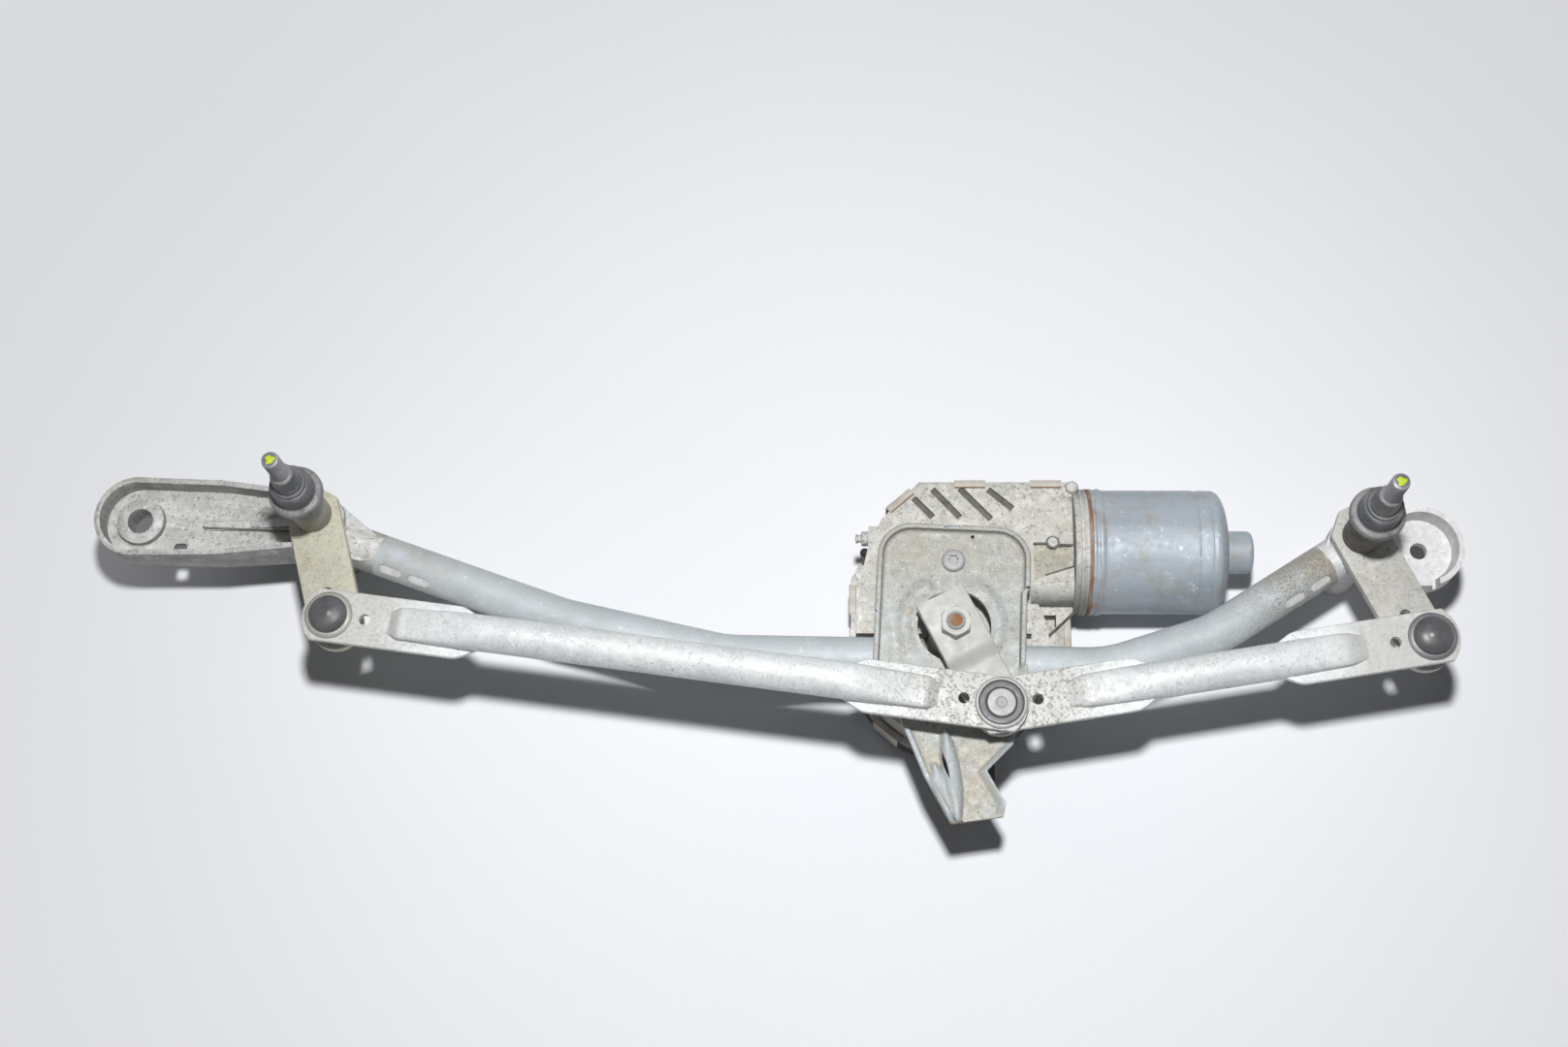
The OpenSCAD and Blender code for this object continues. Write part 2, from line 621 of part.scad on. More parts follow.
module output_bush() color("#a98c55")
  ring([0, 0], chamber_top - 1, neck_top - 0.5, drive_r + 2 - fit, drive_r + fit);
module output_washer() color("#b9bcc0") ring([0, 0], neck_top + 0.1, neck_top + 1, 9, drive_r + fit);
module output_circlip() color("#5c5e60") circlip([0, 0], neck_top + 1, neck_top + 2.2, 8.5, drive_r - 0.7);
module output_shaft() color("#b48a66") rotate_extrude() polygon([
  [0, wheel_z - 3], [drive_r, wheel_z - 3], [drive_r, neck_top + 1], [drive_r - 0.8, neck_top + 1],
  [drive_r - 0.8, neck_top + 2.3], [drive_r, neck_top + 2.3], [drive_r, hub_low - 1],
  [thread_r + 0.8, hub_low], [thread_r + 0.8, hub_top - 1], [thread_r, hub_top - 0.5],
  [thread_r, hub_top + 7.4], [thread_r - 0.6, hub_top + 8], [0, hub_top + 8]]);
crank_half_w = 12.2;
module crank_arm() color("#dfe1dd") difference() {
  intersection() {
    rotate([90, 0, crank_dir]) translate([0, 0, -20]) linear_extrude(40) polygon([
      [-16, hub_low], [13.4, hub_low], [19.5, crank_low], [60, crank_low],
      [60, crank_low + crank_t], [20.5, crank_low + crank_t], [14.4, hub_top], [-16, hub_top]]);
    rotate(crank_dir) linear_extrude(hub_top + cut) union() {
      translate([-16, -crank_half_w]) square([crank_len + 16, 2 * crank_half_w]);
      translate([crank_len, 0]) circle(crank_half_w);
    }
  }
  cylinder(r = thread_r + 0.8 + fit, h = hub_top + cut);
  translate([middle[0], middle[1], 0]) cylinder(r = 5 + fit, h = hub_top + cut);
}
module crank_nut() color("#cfd1cf") translate([0, 0, hub_top]) difference() {
  cylinder(r = 7.5, h = 6.5, $fn = 6);
  translate([0, 0, -cut]) cylinder(r = thread_r + fit, h = 9);
}
module crank_stud() color("#b9bcbf") translate([middle[0], middle[1], 0]) difference() {
  union() {
    translate([0, 0, crank_low]) cylinder(r = 5, h = crank_t);
    translate([0, 0, crank_low + crank_t]) cylinder(r = 9, h = 1.8);
    translate([0, 0, crank_low + crank_t]) cylinder(r = journal_r, h = pivot_top - crank_low - crank_t);
  }
  translate([0, 0, pivot_top - 0.8]) cylinder(r = 2.2, h = 3);
}

// Push rods

// Stations of a rod, measured from its pivots: the flat's run, the rise from it and the round tube
flat_run = 30;
rise_run = 8;
rise_half_w = 7.3;
rise_half_h = 4.2;
tube_start = 78;
// Radius of the bowed tip of a rod
tip_r = 17;
// Section of the rod's tube where it has risen from a flat
module rod_rise() translate([flat_run + rise_run, 0, rise_half_h + 0.1]) rotate([0, 90, 0])
  scale([rise_half_h, rise_half_w, 1]) cylinder(r = 1, h = 1, $fn = 32);
// Rod from pivot p to pivot q, tube raised over the flats by lift
module push_rod(p, q, z, lift, hole_p, hole_q) {
  a = heading(p, q);
  run = norm(q - p);
  mid_z = z + rod_flat_t / 2;
  difference() {
    union() {
      for (e = [[p, a], [q, a + 180]]) translate([e[0][0], e[0][1], z]) rotate(e[1]) {
        linear_extrude(rod_flat_t) {
          intersection() {
            translate([tip_r - rod_half_w, 0]) circle(tip_r);
            translate([-rod_half_w, -rod_half_w]) square(2 * rod_half_w);
          }
          polygon([[0, -rod_half_w], [tube_start - 14, -rod_half_w], [tube_start, -rod_tube_r + 1],
            [tube_start, rod_tube_r - 1], [tube_start - 14, rod_half_w], [0, rod_half_w]]);
        }
        hull() {
          translate([flat_run, -rise_half_w + 1.5, 0.5]) cube([1, 2 * rise_half_w - 3, rod_flat_t - 1]);
          rod_rise();
        }
        hull() {
          rod_rise();
          translate([tube_start, 0, rod_flat_t / 2 + lift]) rotate([0, 90, 0])
            cylinder(r = rod_tube_r - 0.1, h = 1, $fn = 32);
        }
      }
      translate([p[0], p[1], mid_z + lift]) rotate([0, 90, a]) translate([0, 0, tube_start])
        cylinder(r = rod_tube_r, h = run - 2 * tube_start);
    }
    translate([p[0], p[1], mid_z + lift]) rotate([0, 90, a]) translate([0, 0, tube_start + 4])
      cylinder(r = rod_tube_r - rod_wall, h = run - 2 * tube_start - 8);
    translate([p[0], p[1], z - cut]) cylinder(r = hole_p, h = rod_flat_t + 2 * cut);
    translate([q[0], q[1], z - cut]) cylinder(r = hole_q, h = rod_flat_t + 2 * cut);
    for (e = [polar(p, 17, a), polar(q, -17, a)])
      translate([e[0], e[1], z - cut]) cylinder(r = rod_hole_r, h = rod_flat_t + 2 * cut);
  }
}
left_lift = 5;
right_lift = 0.5;
module left_rod() color("#c9cbc6")
  push_rod(middle, left_ball, left_flat, left_lift, socket_r + fit, end_hole_r);
module right_rod() color("#c9cbc6")
  push_rod(middle, right_ball, right_flat, right_lift, socket_r + fit, end_hole_r);
module middle_upper_socket() color("#2a2b2e")
  ring(middle, left_flat - 0.4, pivot_top - 0.2, socket_r, journal_r + 0.05);
module middle_ring() color("#c4c6c6")
  ring(middle, left_flat + rod_flat_t, pivot_top, 12, socket_r + fit);
module middle_lower_socket() color("#2a2b2e") {
  ring(middle, right_flat, right_flat + rod_flat_t + 0.2, socket_r, journal_r + 0.05);
  ring(middle, right_flat - 2.2, right_flat, 11.5, journal_r + 0.05);
}

// Spindles and levers

module spindle(axis, top) translate([axis[0], axis[1], 0]) rotate_extrude() polygon([
  [0, 3], [shaft_r - 0.5, 3], [shaft_r, 3.5], [shaft_r, 5.4], [shaft_r - 0.8, 5.4],
  [shaft_r - 0.8, 6.8], [shaft_r, 6.8], [shaft_r, top + 46.3], [shaft_r + 0.3, top + 46.8],
  [shaft_r - 0.7, top + 57], [thread_r, top + 57.6], [thread_r, top + spindle_rise - 0.8],
  [thread_r - 0.8, top + spindle_rise], [0, top + spindle_rise]]);
module left_spindle() color("#8e8a80") spindle(left_axis, left_lever_top);
module right_spindle() color("#8e8a80") spindle(right_axis, right_lever_top);

stud_r = 3.4;
module lever(axis, a, length, low) translate([axis[0], axis[1], low]) rotate(a)
  linear_extrude(lever_t) difference() {
    union() {
      polygon([[-15, -3], [-6, -lever_half_w], [length, -lever_half_w], [length, lever_half_w],
        [-6, lever_half_w], [-15, 3]]);
      translate([length, 0]) circle(lever_half_w);
    }
    circle(shaft_r + fit);
    translate([length, 0]) circle(stud_r + fit);
    translate([length - 16, -1]) circle(2.6);
  }
module left_lever() color("#c5bd9c") lever(left_axis, left_dir, left_lever_len, left_lever_z);
module right_lever() color("#c5bd9c") lever(right_axis, right_dir, right_lever_len, right_lever_z);

neck_len = 29;
module neck(axis, top) ring(axis, top, top + neck_len, 9, shaft_r + fit);
module left_neck() color("#a99f80") neck(left_axis, left_lever_top);
module right_neck() color("#6b6252") neck(right_axis, right_lever_top);
module collar(axis, top) translate([axis[0], axis[1], top + neck_len]) rotate_extrude() polygon([
  [shaft_r + fit, 0], [12, 0], [12.7, 0.8], [12.7, 3.6], [12, 4.5], [9.6, 4.5], [9.4, 5],
  [9.4, 14], [8.4, 15], [7.8, 15], [7.8, 16.6], [shaft_r + fit, 16.6]]);
module left_collar() color("#4a4b4d") collar(left_axis, left_lever_top);
module right_collar() color("#4a4b4d") collar(right_axis, right_lever_top);

// Ball stud riveted in a lever's end
ball_rise = 5.8;
module ball_stud(p, low, top) translate([p[0], p[1], 0]) rotate_extrude() polygon(concat(
  [[0, low], [stud_r, low], [stud_r, top + ball_rise - sqrt(ball_r * ball_r - stud_r * stud_r)]],
  [for (a = [-50 : 10 : 80]) [ball_r * cos(a), top + ball_rise + ball_r * sin(a)]],
  [[0, top + ball_rise + ball_r]]));
module left_ball_stud() color("#b9bcbf") ball_stud(left_ball, left_lever_z, left_lever_top);
module right_ball_stud() color("#b9bcbf") ball_stud(right_ball, right_lever_z, right_lever_top);

dome_r = 9.8;
// Snap-on cup around a ball, its stem through the rod's end and its dome above
module socket(p, top, flat) translate([p[0], p[1], 0]) difference() {
  rotate_extrude() polygon(concat(
    [[0, top + 3], [8.6, top + 3], [9.2, top + 4], [9.2, flat - gap], [stem_r, flat - gap]],
    [[stem_r, flat + rod_flat_t + 1.5], [dome_r, flat + rod_flat_t + 1.5]],
    [for (a = [10 : 10 : 70]) [dome_r * cos(a), flat + rod_flat_t + 1.5 + 4.4 * sin(a)]],
    [[1.6, flat + rod_flat_t + 5.9], [1.3, flat + rod_flat_t + 7], [0, flat + rod_flat_t + 7]]));
  translate([0, 0, top + ball_rise]) sphere(ball_r + fit);
  translate([0, 0, top]) cylinder(r = stud_r + 0.6, h = ball_rise);
}
module left_socket() color("#232425") socket(left_ball, left_lever_top, left_flat);
module right_socket() color("#232425") socket(right_ball, right_lever_top, right_flat);
module end_ring(p, flat) ring(p, flat + rod_flat_t + gap, flat + rod_flat_t + 1.5, ring_r, stem_r + fit);
module left_ring() color("#c4c6c6") end_ring(left_ball, left_flat);
module right_ring() color("#c4c6c6") end_ring(right_ball, right_flat);

// Bushes, washers and circlips of the spindles
module bushes(axis, top) {
  ring(axis, top - 14, top - 0.2, bush_r - fit, shaft_r + fit);
  ring(axis, seat_top + 0.2, seat_top + 14, bush_r - fit, shaft_r + fit);
}
module left_bushes() color("#a98c55") bushes(left_axis, left_sleeve_top);
module right_bushes() color("#a98c55") bushes(right_axis, right_sleeve_top);
module left_thrust_washer() color("#b9bcc0")
  ring(left_axis, left_lever_z - washer_t, left_lever_z, 11, shaft_r + fit);
module right_thrust_washer() color("#b9bcc0")
  ring(right_axis, right_lever_z - washer_t, right_lever_z, 11, shaft_r + fit);
module left_circlip() color("#5c5e60") circlip(left_axis, 5.5, 6.7, 7.7, shaft_r - 0.75);
module right_circlip() color("#5c5e60") circlip(right_axis, 5.5, 6.7, 7.7, shaft_r - 0.75);

left_tube();
right_tube();
left_bracket();
right_bracket();
motor_plate();
motor_screws();
gear_housing();
gear_cover();
cover_seal();
cover_clips();
control_board();
connector_pins();
breather();
output_bush();
motor_can();
can_seal();
magnets();
brush_holder();
brushes();
front_bearing();
rear_bearing();
left_bushes();
right_bushes();
output_shaft();
worm_wheel();
output_washer();
output_circlip();
crank_arm();
crank_nut();
crank_stud();
armature_shaft();
worm();
armature_core();
windings();
commutator();
left_rod();
middle_upper_socket();
middle_ring();
right_rod();
middle_lower_socket();
left_spindle();
left_lever();
left_neck();
left_collar();
left_ball_stud();
left_socket();
left_ring();
left_thrust_washer();
left_circlip();
right_spindle();
right_lever();
right_neck();
right_collar();
right_ball_stud();
right_socket();
right_ring();
right_thrust_washer();
right_circlip();
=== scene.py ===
"""Looks of a wiper linkage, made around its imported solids.

Lengths are in millimetres until a mesh is made.
"""
import math
from collections import namedtuple

import bmesh
import bpy
import numpy as np
from mathutils import Matrix, Vector


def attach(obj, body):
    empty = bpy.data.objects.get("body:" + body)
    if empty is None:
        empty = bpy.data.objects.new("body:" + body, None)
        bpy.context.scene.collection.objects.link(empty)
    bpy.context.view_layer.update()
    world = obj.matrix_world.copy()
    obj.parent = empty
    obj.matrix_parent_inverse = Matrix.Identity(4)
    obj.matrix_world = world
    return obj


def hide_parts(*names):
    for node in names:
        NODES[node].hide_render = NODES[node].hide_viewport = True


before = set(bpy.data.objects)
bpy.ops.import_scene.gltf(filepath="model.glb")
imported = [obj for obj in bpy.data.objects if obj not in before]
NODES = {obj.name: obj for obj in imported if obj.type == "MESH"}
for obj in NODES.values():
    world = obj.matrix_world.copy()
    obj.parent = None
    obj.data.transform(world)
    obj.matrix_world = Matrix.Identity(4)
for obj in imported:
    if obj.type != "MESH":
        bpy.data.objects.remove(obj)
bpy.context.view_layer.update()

bl_info = {
    "name": "Wiper linkage looks",
    "version": (1, 0, 0),
    "blender": (4, 5, 0),
    "location": "View3D > Sidebar > Wiper linkage",
    "description": "Builds the surfaces and finishes of a wiper linkage around its solids",
    "category": "Object",
}

MM = 0.001
FULL_TURN = 2 * math.pi


def polar(point, r, degrees):
    """The point at distance r from another, in a heading in degrees."""
    a = math.radians(degrees)
    return np.array(point, float) + r * np.array((math.cos(a), math.sin(a)))


# Places in plan and heights, as in the part's source
CRANK_REACH, CRANK_HEAD = 43.5, -63
MIDDLE = polar((0, 0), CRANK_REACH, CRANK_HEAD)
LEFT_PATH = np.array(((-22, -10), (-108, -8.5), (-185, 9), (-275, 41)), float)
RIGHT_PATH = np.array(((22, -13.4), (72, -14.5), (122, 2), (176, 36.5)), float)
PLATE_TOP, PLATE_LOW = 60.0, 57.5
TUBE_Z, TUBE_R, TUBE_WALL, TUBE_BEND = 47.5, 10.0, 1.5, 60
CRANK_LOW, HUB_LOW, CRANK_T = 64.0, 68.0, 4.5
HUB_TOP = HUB_LOW + CRANK_T
FLAT_T, LEVER_T = 3.0, 5.0
PIVOT_TOP = 82.0
MOTOR = (0, 48.0, 31.0)
SCREWS = ((0, 34.5), (17, -30.5), (-17, -30.5))

Side = namedtuple("Side", "name axis reach head lever_top flat lift boxy neck_slot")
LEFT = Side("left", np.array((-305.0, 55.5)), 56, -74, 66.5, 77.5, 5.0, 1.0, "neck_tan")
RIGHT = Side("right", np.array((190.5, 46.0)), 58, -64.5, 63.5, 73.5, 0.5, 0.3, "neck_dark")
SIDES = (LEFT, RIGHT)


def ball_of(side):
    """Place of the ball at the end of a side's lever."""
    return polar(side.axis, side.reach, side.head)


# Grids and meshes


def ease(x, low, high):
    """Smooth step from 0 at low to 1 at high."""
    t = np.clip((np.asarray(x, float) - low) / (high - low), 0, 1)
    return t * t * (3 - 2 * t)


def angles(count):
    """Even angles round a full turn."""
    return np.arange(count) * FULL_TURN / count


def heading(a, b):
    """Heading in degrees from one point to another."""
    return math.degrees(math.atan2(b[1] - a[1], b[0] - a[0]))


def grid_faces(nu, nv, wrap_u, wrap_v):
    """Quads of a grid of nu by nv points: cell (i, j) joins it to the next row and the next column."""
    i, j = np.meshgrid(
        np.arange(nu if wrap_u else nu - 1), np.arange(nv if wrap_v else nv - 1), indexing="ij"
    )
    i2, j2 = (i + 1) % nu, (j + 1) % nv
    return np.stack((i * nv + j, i2 * nv + j, i2 * nv + j2, i * nv + j2), -1).reshape(-1, 4)


def make_mesh(name, shells, sharp=40):
    """One mesh of closed shells. A shell is a grid P[u, v] that closes round v. It also closes round u
    where ring is true, and otherwise its first and last rows are capped."""
    points, faces, base = [], [], 0
    for grid, ring in shells:
        nu, nv = grid.shape[:2]
        points.append(grid.reshape(-1, 3) * MM)
        faces += (grid_faces(nu, nv, ring, True) + base).tolist()
        if not ring:
            faces.append((base + np.arange(nv)).tolist())
            faces.append((base + (nu - 1) * nv + np.arange(nv)[::-1]).tolist())
        base += nu * nv
    mesh = bpy.data.meshes.new(name)
    mesh.from_pydata(np.concatenate(points).tolist(), [], faces)
    bm = bmesh.new()
    bm.from_mesh(mesh)
    bmesh.ops.recalc_face_normals(bm, faces=bm.faces)
    bm.to_mesh(mesh)
    bm.free()
    shade(mesh, sharp)
    return mesh


def shade(mesh, sharp):
    """Smooth shading with creases kept where faces meet at more than the angle."""
    mesh.shade_smooth()
    mesh.set_sharp_from_angle(angle=math.radians(sharp))


def place(name, mesh, body, finish, node=None):
    """Puts a mesh into the scene as a piece that rides on a body and may stand for a node."""
    obj = bpy.data.objects.new(name, mesh)
    bpy.context.scene.collection.objects.link(obj)
    mesh.materials.clear()
    mesh.materials.append(MADE[finish])
    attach(obj, body)
    if node:
        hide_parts(node)
    return obj


def add(name, shells, body, finish, node=None, sharp=40):
    """A piece made of closed shells."""
    return place(name, make_mesh(name, shells, sharp), body, finish, node)


def cut_out(obj, shells, sharp):
    """Takes closed shells out of a piece, and joins its own shells where they cross."""
    cutter = bpy.data.objects.new("cutter", make_mesh("cutter", shells))
    bpy.context.scene.collection.objects.link(cutter)
    cut = obj.modifiers.new("holes", "BOOLEAN")
    cut.operation, cut.solver, cut.use_self, cut.object = "DIFFERENCE", "EXACT", True, cutter
    bpy.context.view_layer.update()
    held = obj.evaluated_get(bpy.context.evaluated_depsgraph_get())
    mesh = bpy.data.meshes.new_from_object(held)
    old, cutter_mesh, material = obj.data, cutter.data, obj.data.materials[0]
    obj.modifiers.clear()
    obj.data = mesh
    bpy.data.objects.remove(cutter)
    bpy.data.meshes.remove(old)
    bpy.data.meshes.remove(cutter_mesh)
    mesh.materials.clear()
    mesh.materials.append(material)
    shade(mesh, sharp)


CAST_SHARP = 35


def softened(name, node, width, finish):
    """A merged copy of a solid's mesh on the frame, its edges rounded by a bevel."""
    bm = bmesh.new()
    bm.from_mesh(NODES[node].data)
    bmesh.ops.remove_doubles(bm, verts=bm.verts, dist=1e-6)
    bmesh.ops.dissolve_limit(
        bm, angle_limit=math.radians(0.5), verts=bm.verts, edges=bm.edges, delimit={"NORMAL"}
    )
    mesh = bpy.data.meshes.new(name)
    bm.to_mesh(mesh)
    bm.free()
    shade(mesh, CAST_SHARP)
    obj = place(name, mesh, "frame", finish, node)
    bevel = obj.modifiers.new("edges", "BEVEL")
    bevel.width, bevel.segments, bevel.limit_method = width, 2, "ANGLE"
    bevel.angle_limit = math.radians(CAST_SHARP)
    bevel.harden_normals = True
    return obj


# Forms


def turned(at, profile, count=64, ring=False, along_x=False, ripple=None):
    """Surface of revolution: the row (r, h) of the profile is the ring (r cos t, r sin t, h) about an axis
    through at, upright or along X. A ripple is added to r as a function of r, h and t."""
    r, h = np.array(profile, float).T
    t = angles(count)
    radius = np.maximum(r, 0.02)[:, None] + np.zeros(count)
    if ripple is not None:
        radius = radius + ripple(r[:, None], h[:, None], t[None, :])
    across, up = radius * np.cos(t), radius * np.sin(t)
    rise = h[:, None] + np.zeros(count)
    order = (rise, up, -across) if along_x else (across, up, rise)
    return np.stack(order, -1) + np.array((*at, 0.0)[:3], float), ring


def stacked(at, rows, count, base):
    """Rings about an upright axis, one for each row (r, z) above a base: r may differ with the angle."""
    t = angles(count)
    r = np.stack([row[0] + np.zeros(count) for row in rows])
    z = np.array([row[1] for row in rows])[:, None] + np.zeros(count)
    return np.stack((at[0] + r * np.cos(t), at[1] + r * np.sin(t), base + z), -1)


def eased(points, radius, steps=4, closed=False):
    """A row of points with its corners replaced by parabolas that start the radius before each corner."""
    p = np.array(points, float)
    before, after = np.roll(p, 1, 0) - p, np.roll(p, -1, 0) - p
    reach = lambda d: np.minimum(radius, 0.45 * np.linalg.norm(d, axis=1))[:, None]
    unit = lambda d: d / np.maximum(np.linalg.norm(d, axis=1), 1e-9)[:, None]
    a, b = p + unit(before) * reach(before), p + unit(after) * reach(after)
    f = np.linspace(0, 1, steps)[None, :, None]
    arcs = (1 - f) ** 2 * a[:, None] + 2 * f * (1 - f) * p[:, None] + f**2 * b[:, None]
    if closed:
        return arcs.reshape(-1, p.shape[1])
    return np.concatenate((p[:1], arcs[1:-1].reshape(-1, p.shape[1]), p[-1:]))


def ring_of(at, rows, radius, count=72):
    """Closed turned ring: the section's corners are eased by a radius."""
    return turned(at, eased(rows, radius, closed=True), count, True)


def round_box(half_w, half_t, r, steps=5):
    """Rounded rectangles, one for each half width: four quarter circles of radius r at the corners."""
    a = (np.arange(4 * steps) % steps / (steps - 1) + np.arange(4 * steps) // steps) * math.pi / 2
    q = np.arange(4 * steps) // steps
    sx, sy = np.array((1, -1, -1, 1))[q], np.array((1, 1, -1, -1))[q]
    rw = np.minimum(r, half_w * 0.9)[:, None]
    y = sx * (half_w[:, None] - rw) + rw * np.cos(a)
    z = sy * (half_t - r) + r * np.sin(a) + np.zeros_like(y)
    return y, z


def along(start, degrees, s, y, z):
    """Capped shell carried along a heading from a start: s forwards, y to the left and z up."""
    d = polar((0, 0), 1, degrees)
    x0 = start[0] + s[:, None] * d[0] - y * d[1]
    y0 = start[1] + s[:, None] * d[1] + y * d[0]
    return np.stack((x0, y0, z + np.zeros_like(y)), -1), False


def bar(start, degrees, s, half_w, mid_z, thick, r=0.6):
    """Flat bar along a heading: at s its section is a rounded box of half width W(s) about height Z(s)."""
    s = np.asarray(s, float)
    y, z = round_box(half_w + np.zeros(len(s)), thick / 2, r)
    return along(start, degrees, s, y, z + (mid_z + np.zeros(len(s)))[:, None])


def line_bar(a, b, half, low, high, r=0.15, trim=0.0):
    """Straight bar of a half width between two points in plan, from one height to another."""
    run = np.linalg.norm(np.array(b) - np.array(a))
    return bar(a, heading(a, b), (trim, run - trim), half, (low + high) / 2, high - low, r)


def round_end(centre, r, count=14):
    """Stations and half widths of a bar's round end beyond its centre: (s/r)^2 + (w/r)^2 = 1."""
    t = np.linspace(math.pi / 2, 0.03, count)
    return centre + r * np.cos(t), r * np.sin(t)


def post(at, r, low, high, count=24):
    """Plain upright cylinder, used to cut holes."""
    return turned(at, ((r, low), (r, high)), count)


def prism(outline, low, high):
    """Upright prism over an outline in plan."""
    level = lambda z: np.concatenate((outline, np.full((len(outline), 1), z)), 1)
    return np.stack((level(low), level(high))), False


def block(middle, size, low, high, r=0.02):
    """Upright block with rounded edges: a rounded box in plan, drawn in by r at its foot and its top."""
    y, x = round_box(np.full(4, size[1] / 2), size[0] / 2, r)
    draw = np.array((r, 0, 0, r))[:, None]
    x, y = x - np.sign(x) * draw + middle[0], y - np.sign(y) * draw + middle[1]
    z = np.array((low, low + r, high - r, high))[:, None] + np.zeros_like(x)
    return np.stack((x, y, z), -1), False


def bent_line(points, bend, step=3.0):
    """Points along a row of straights joined by arcs of the bend radius, with the heading at each."""
    p = np.array(points, float)
    d = np.diff(p, axis=0)
    head = np.unwrap(np.arctan2(d[:, 1], d[:, 0]))
    rows, turns = [p[0]], [head[0]]
    for i in range(1, len(p) - 1):
        turn = head[i] - head[i - 1]
        side = math.copysign(1, turn)
        start = p[i] - bend * math.tan(abs(turn) / 2) * d[i - 1] / np.linalg.norm(d[i - 1])
        centre = start + bend * side * np.array((-math.sin(head[i - 1]), math.cos(head[i - 1])))
        a = head[i - 1] + turn * np.linspace(0, 1, max(int(bend * abs(turn) / step), 4))
        rows.extend(centre + bend * side * np.stack((np.sin(a), -np.cos(a)), -1))
        turns.extend(a)
    rows.append(p[-1])
    turns.append(head[-1])
    return np.array(rows), np.array(turns)


def bent_tube(points, z, outer, inner, bend, count=48):
    """Tube carried along a bent line: an outer skin out and an inner skin back, closed round both ways."""
    p, a = bent_line(points, bend)
    t = angles(count)
    skins = []
    for r in (outer, inner):
        side, up = r * np.cos(t), r * np.sin(t)
        x = p[:, :1] - np.sin(a)[:, None] * side
        y = p[:, 1:] + np.cos(a)[:, None] * side
        skins.append(np.stack((x, y, z + up + np.zeros_like(x)), -1))
    return np.concatenate((skins[0], skins[1][::-1])), True


def slot_cutter(end, degrees, back, roll, size, low, high):
    """Stadium-shaped block out of a level tube's axis, back from its end and rolled about the axis."""
    length, width = size
    t = angles(24)
    s = np.cos(t) * width / 2 + np.sign(np.cos(t)) * (length - width) / 2 - back
    y = np.sin(t) * width / 2
    c, e = math.cos(math.radians(roll)), math.sin(math.radians(roll))
    h = np.array((low, high))[:, None]
    left, rise = y * c + h * e, h * c - y * e
    d = polar((0, 0), 1, degrees)
    x0, y0 = end[0] + s * d[0] - left * d[1], end[1] + s * d[1] + left * d[0]
    return np.stack((x0, y0, TUBE_Z + rise), -1), False


# Finishes


def node(tree, kind, inputs, **settings):
    """Outputs of a new shader node with its settings, each input linked to a socket or set to a value."""
    made = tree.nodes.new("ShaderNode" + kind)
    for name, value in settings.items():
        setattr(made, name, value)
    for name, value in inputs.items():
        if isinstance(value, bpy.types.NodeSocket):
            tree.links.new(value, made.inputs[name])
        else:
            made.inputs[name].default_value = value
    return made.outputs


class Finish:
    """A node material on Object coordinates: mottled layers of colour, roughness and bump from noise."""

    def __init__(self, name, base, metallic, rough, specular=0.5):
        self.material = bpy.data.materials.new(name)
        self.material.use_nodes = True
        self.tree = self.material.node_tree
        self.shader = self.tree.nodes["Principled BSDF"]
        self.shader.inputs["Metallic"].default_value = metallic
        self.shader.inputs["Specular IOR Level"].default_value = specular
        source = self.node("TexCoord", {})
        self.place, self.facing = source["Object"], source["Normal"]
        self.colour = (*base, 1.0)
        patches = self.ranged(self.texture(220, 3, seed=0.37), (0.35, 0.65), rough)
        self.tree.links.new(patches, self.shader.inputs["Roughness"])

    def node(self, kind, inputs, **settings):
        return node(self.tree, kind, inputs, **settings)

    def texture(self, scale, detail, stretch=(1, 1, 1), seed=0.0):
        """Noise at a scale per metre, moved by a seed."""
        move = {"Vector": self.place, "Scale": stretch, "Location": (seed, seed * 0.7, seed * 1.3)}
        noise = {"Scale": scale, "Detail": detail, "Roughness": 0.6}
        return self.node("TexNoise", {"Vector": self.node("Mapping", move)["Vector"], **noise})["Fac"]

    def ranged(self, value, cut, out):
        """A value taken from one range to another, clamped."""
        limits = dict(zip(("From Min", "From Max", "To Min", "To Max"), (*cut, *out)))
        return self.node("MapRange", {"Value": value, **limits})["Result"]

    def times(self, a, b):
        return self.node("Math", {0: a, 1: b}, operation="MULTIPLY")["Value"]

    def region(self, axis, low, high):
        """Mask that goes from 0 to 1 between two places along an axis, in millimetres. The axis Up is the
        upward part of the surface's normal instead, from -1 to 1."""
        source, part, unit = (self.facing, "Z", 1) if axis == "Up" else (self.place, axis, MM)
        split = self.node("SeparateXYZ", {"Vector": source})
        return self.ranged(split[part], (low * unit, high * unit), (0.0, 1.0))

    def layer(self, colour, scale, cut, amount=1.0, detail=4, within=(), **options):
        """Mixes a colour in where the texture passes the cut, only within the given regions."""
        mask = self.ranged(self.texture(scale, detail, **options), cut, (0.0, amount))
        for limits in within:
            mask = self.times(mask, self.region(*limits))
        self.colour = self.node("Mix", {0: mask, 6: self.colour, 7: (*colour, 1.0)}, data_type="RGBA")[2]
        return self

    def done(self, bump):
        """Joins the colour and the bump, rows of scale, height in millimetres and strength."""
        normal = {}
        for scale, height, strength in bump:
            grain = self.texture(scale, 4, seed=0.11)
            inputs = {"Height": grain, "Distance": height * MM, "Strength": strength, **normal}
            normal = {"Normal": self.node("Bump", inputs)["Normal"]}
        for name, socket in {"Base Color": self.colour, **normal}.items():
            self.tree.links.new(socket, self.shader.inputs[name])
        return self.material


MADE = {}
PALEST = 0.9
ZINC_BUMP = ((950, 0.12, 0.5), (160, 0.15, 0.35))


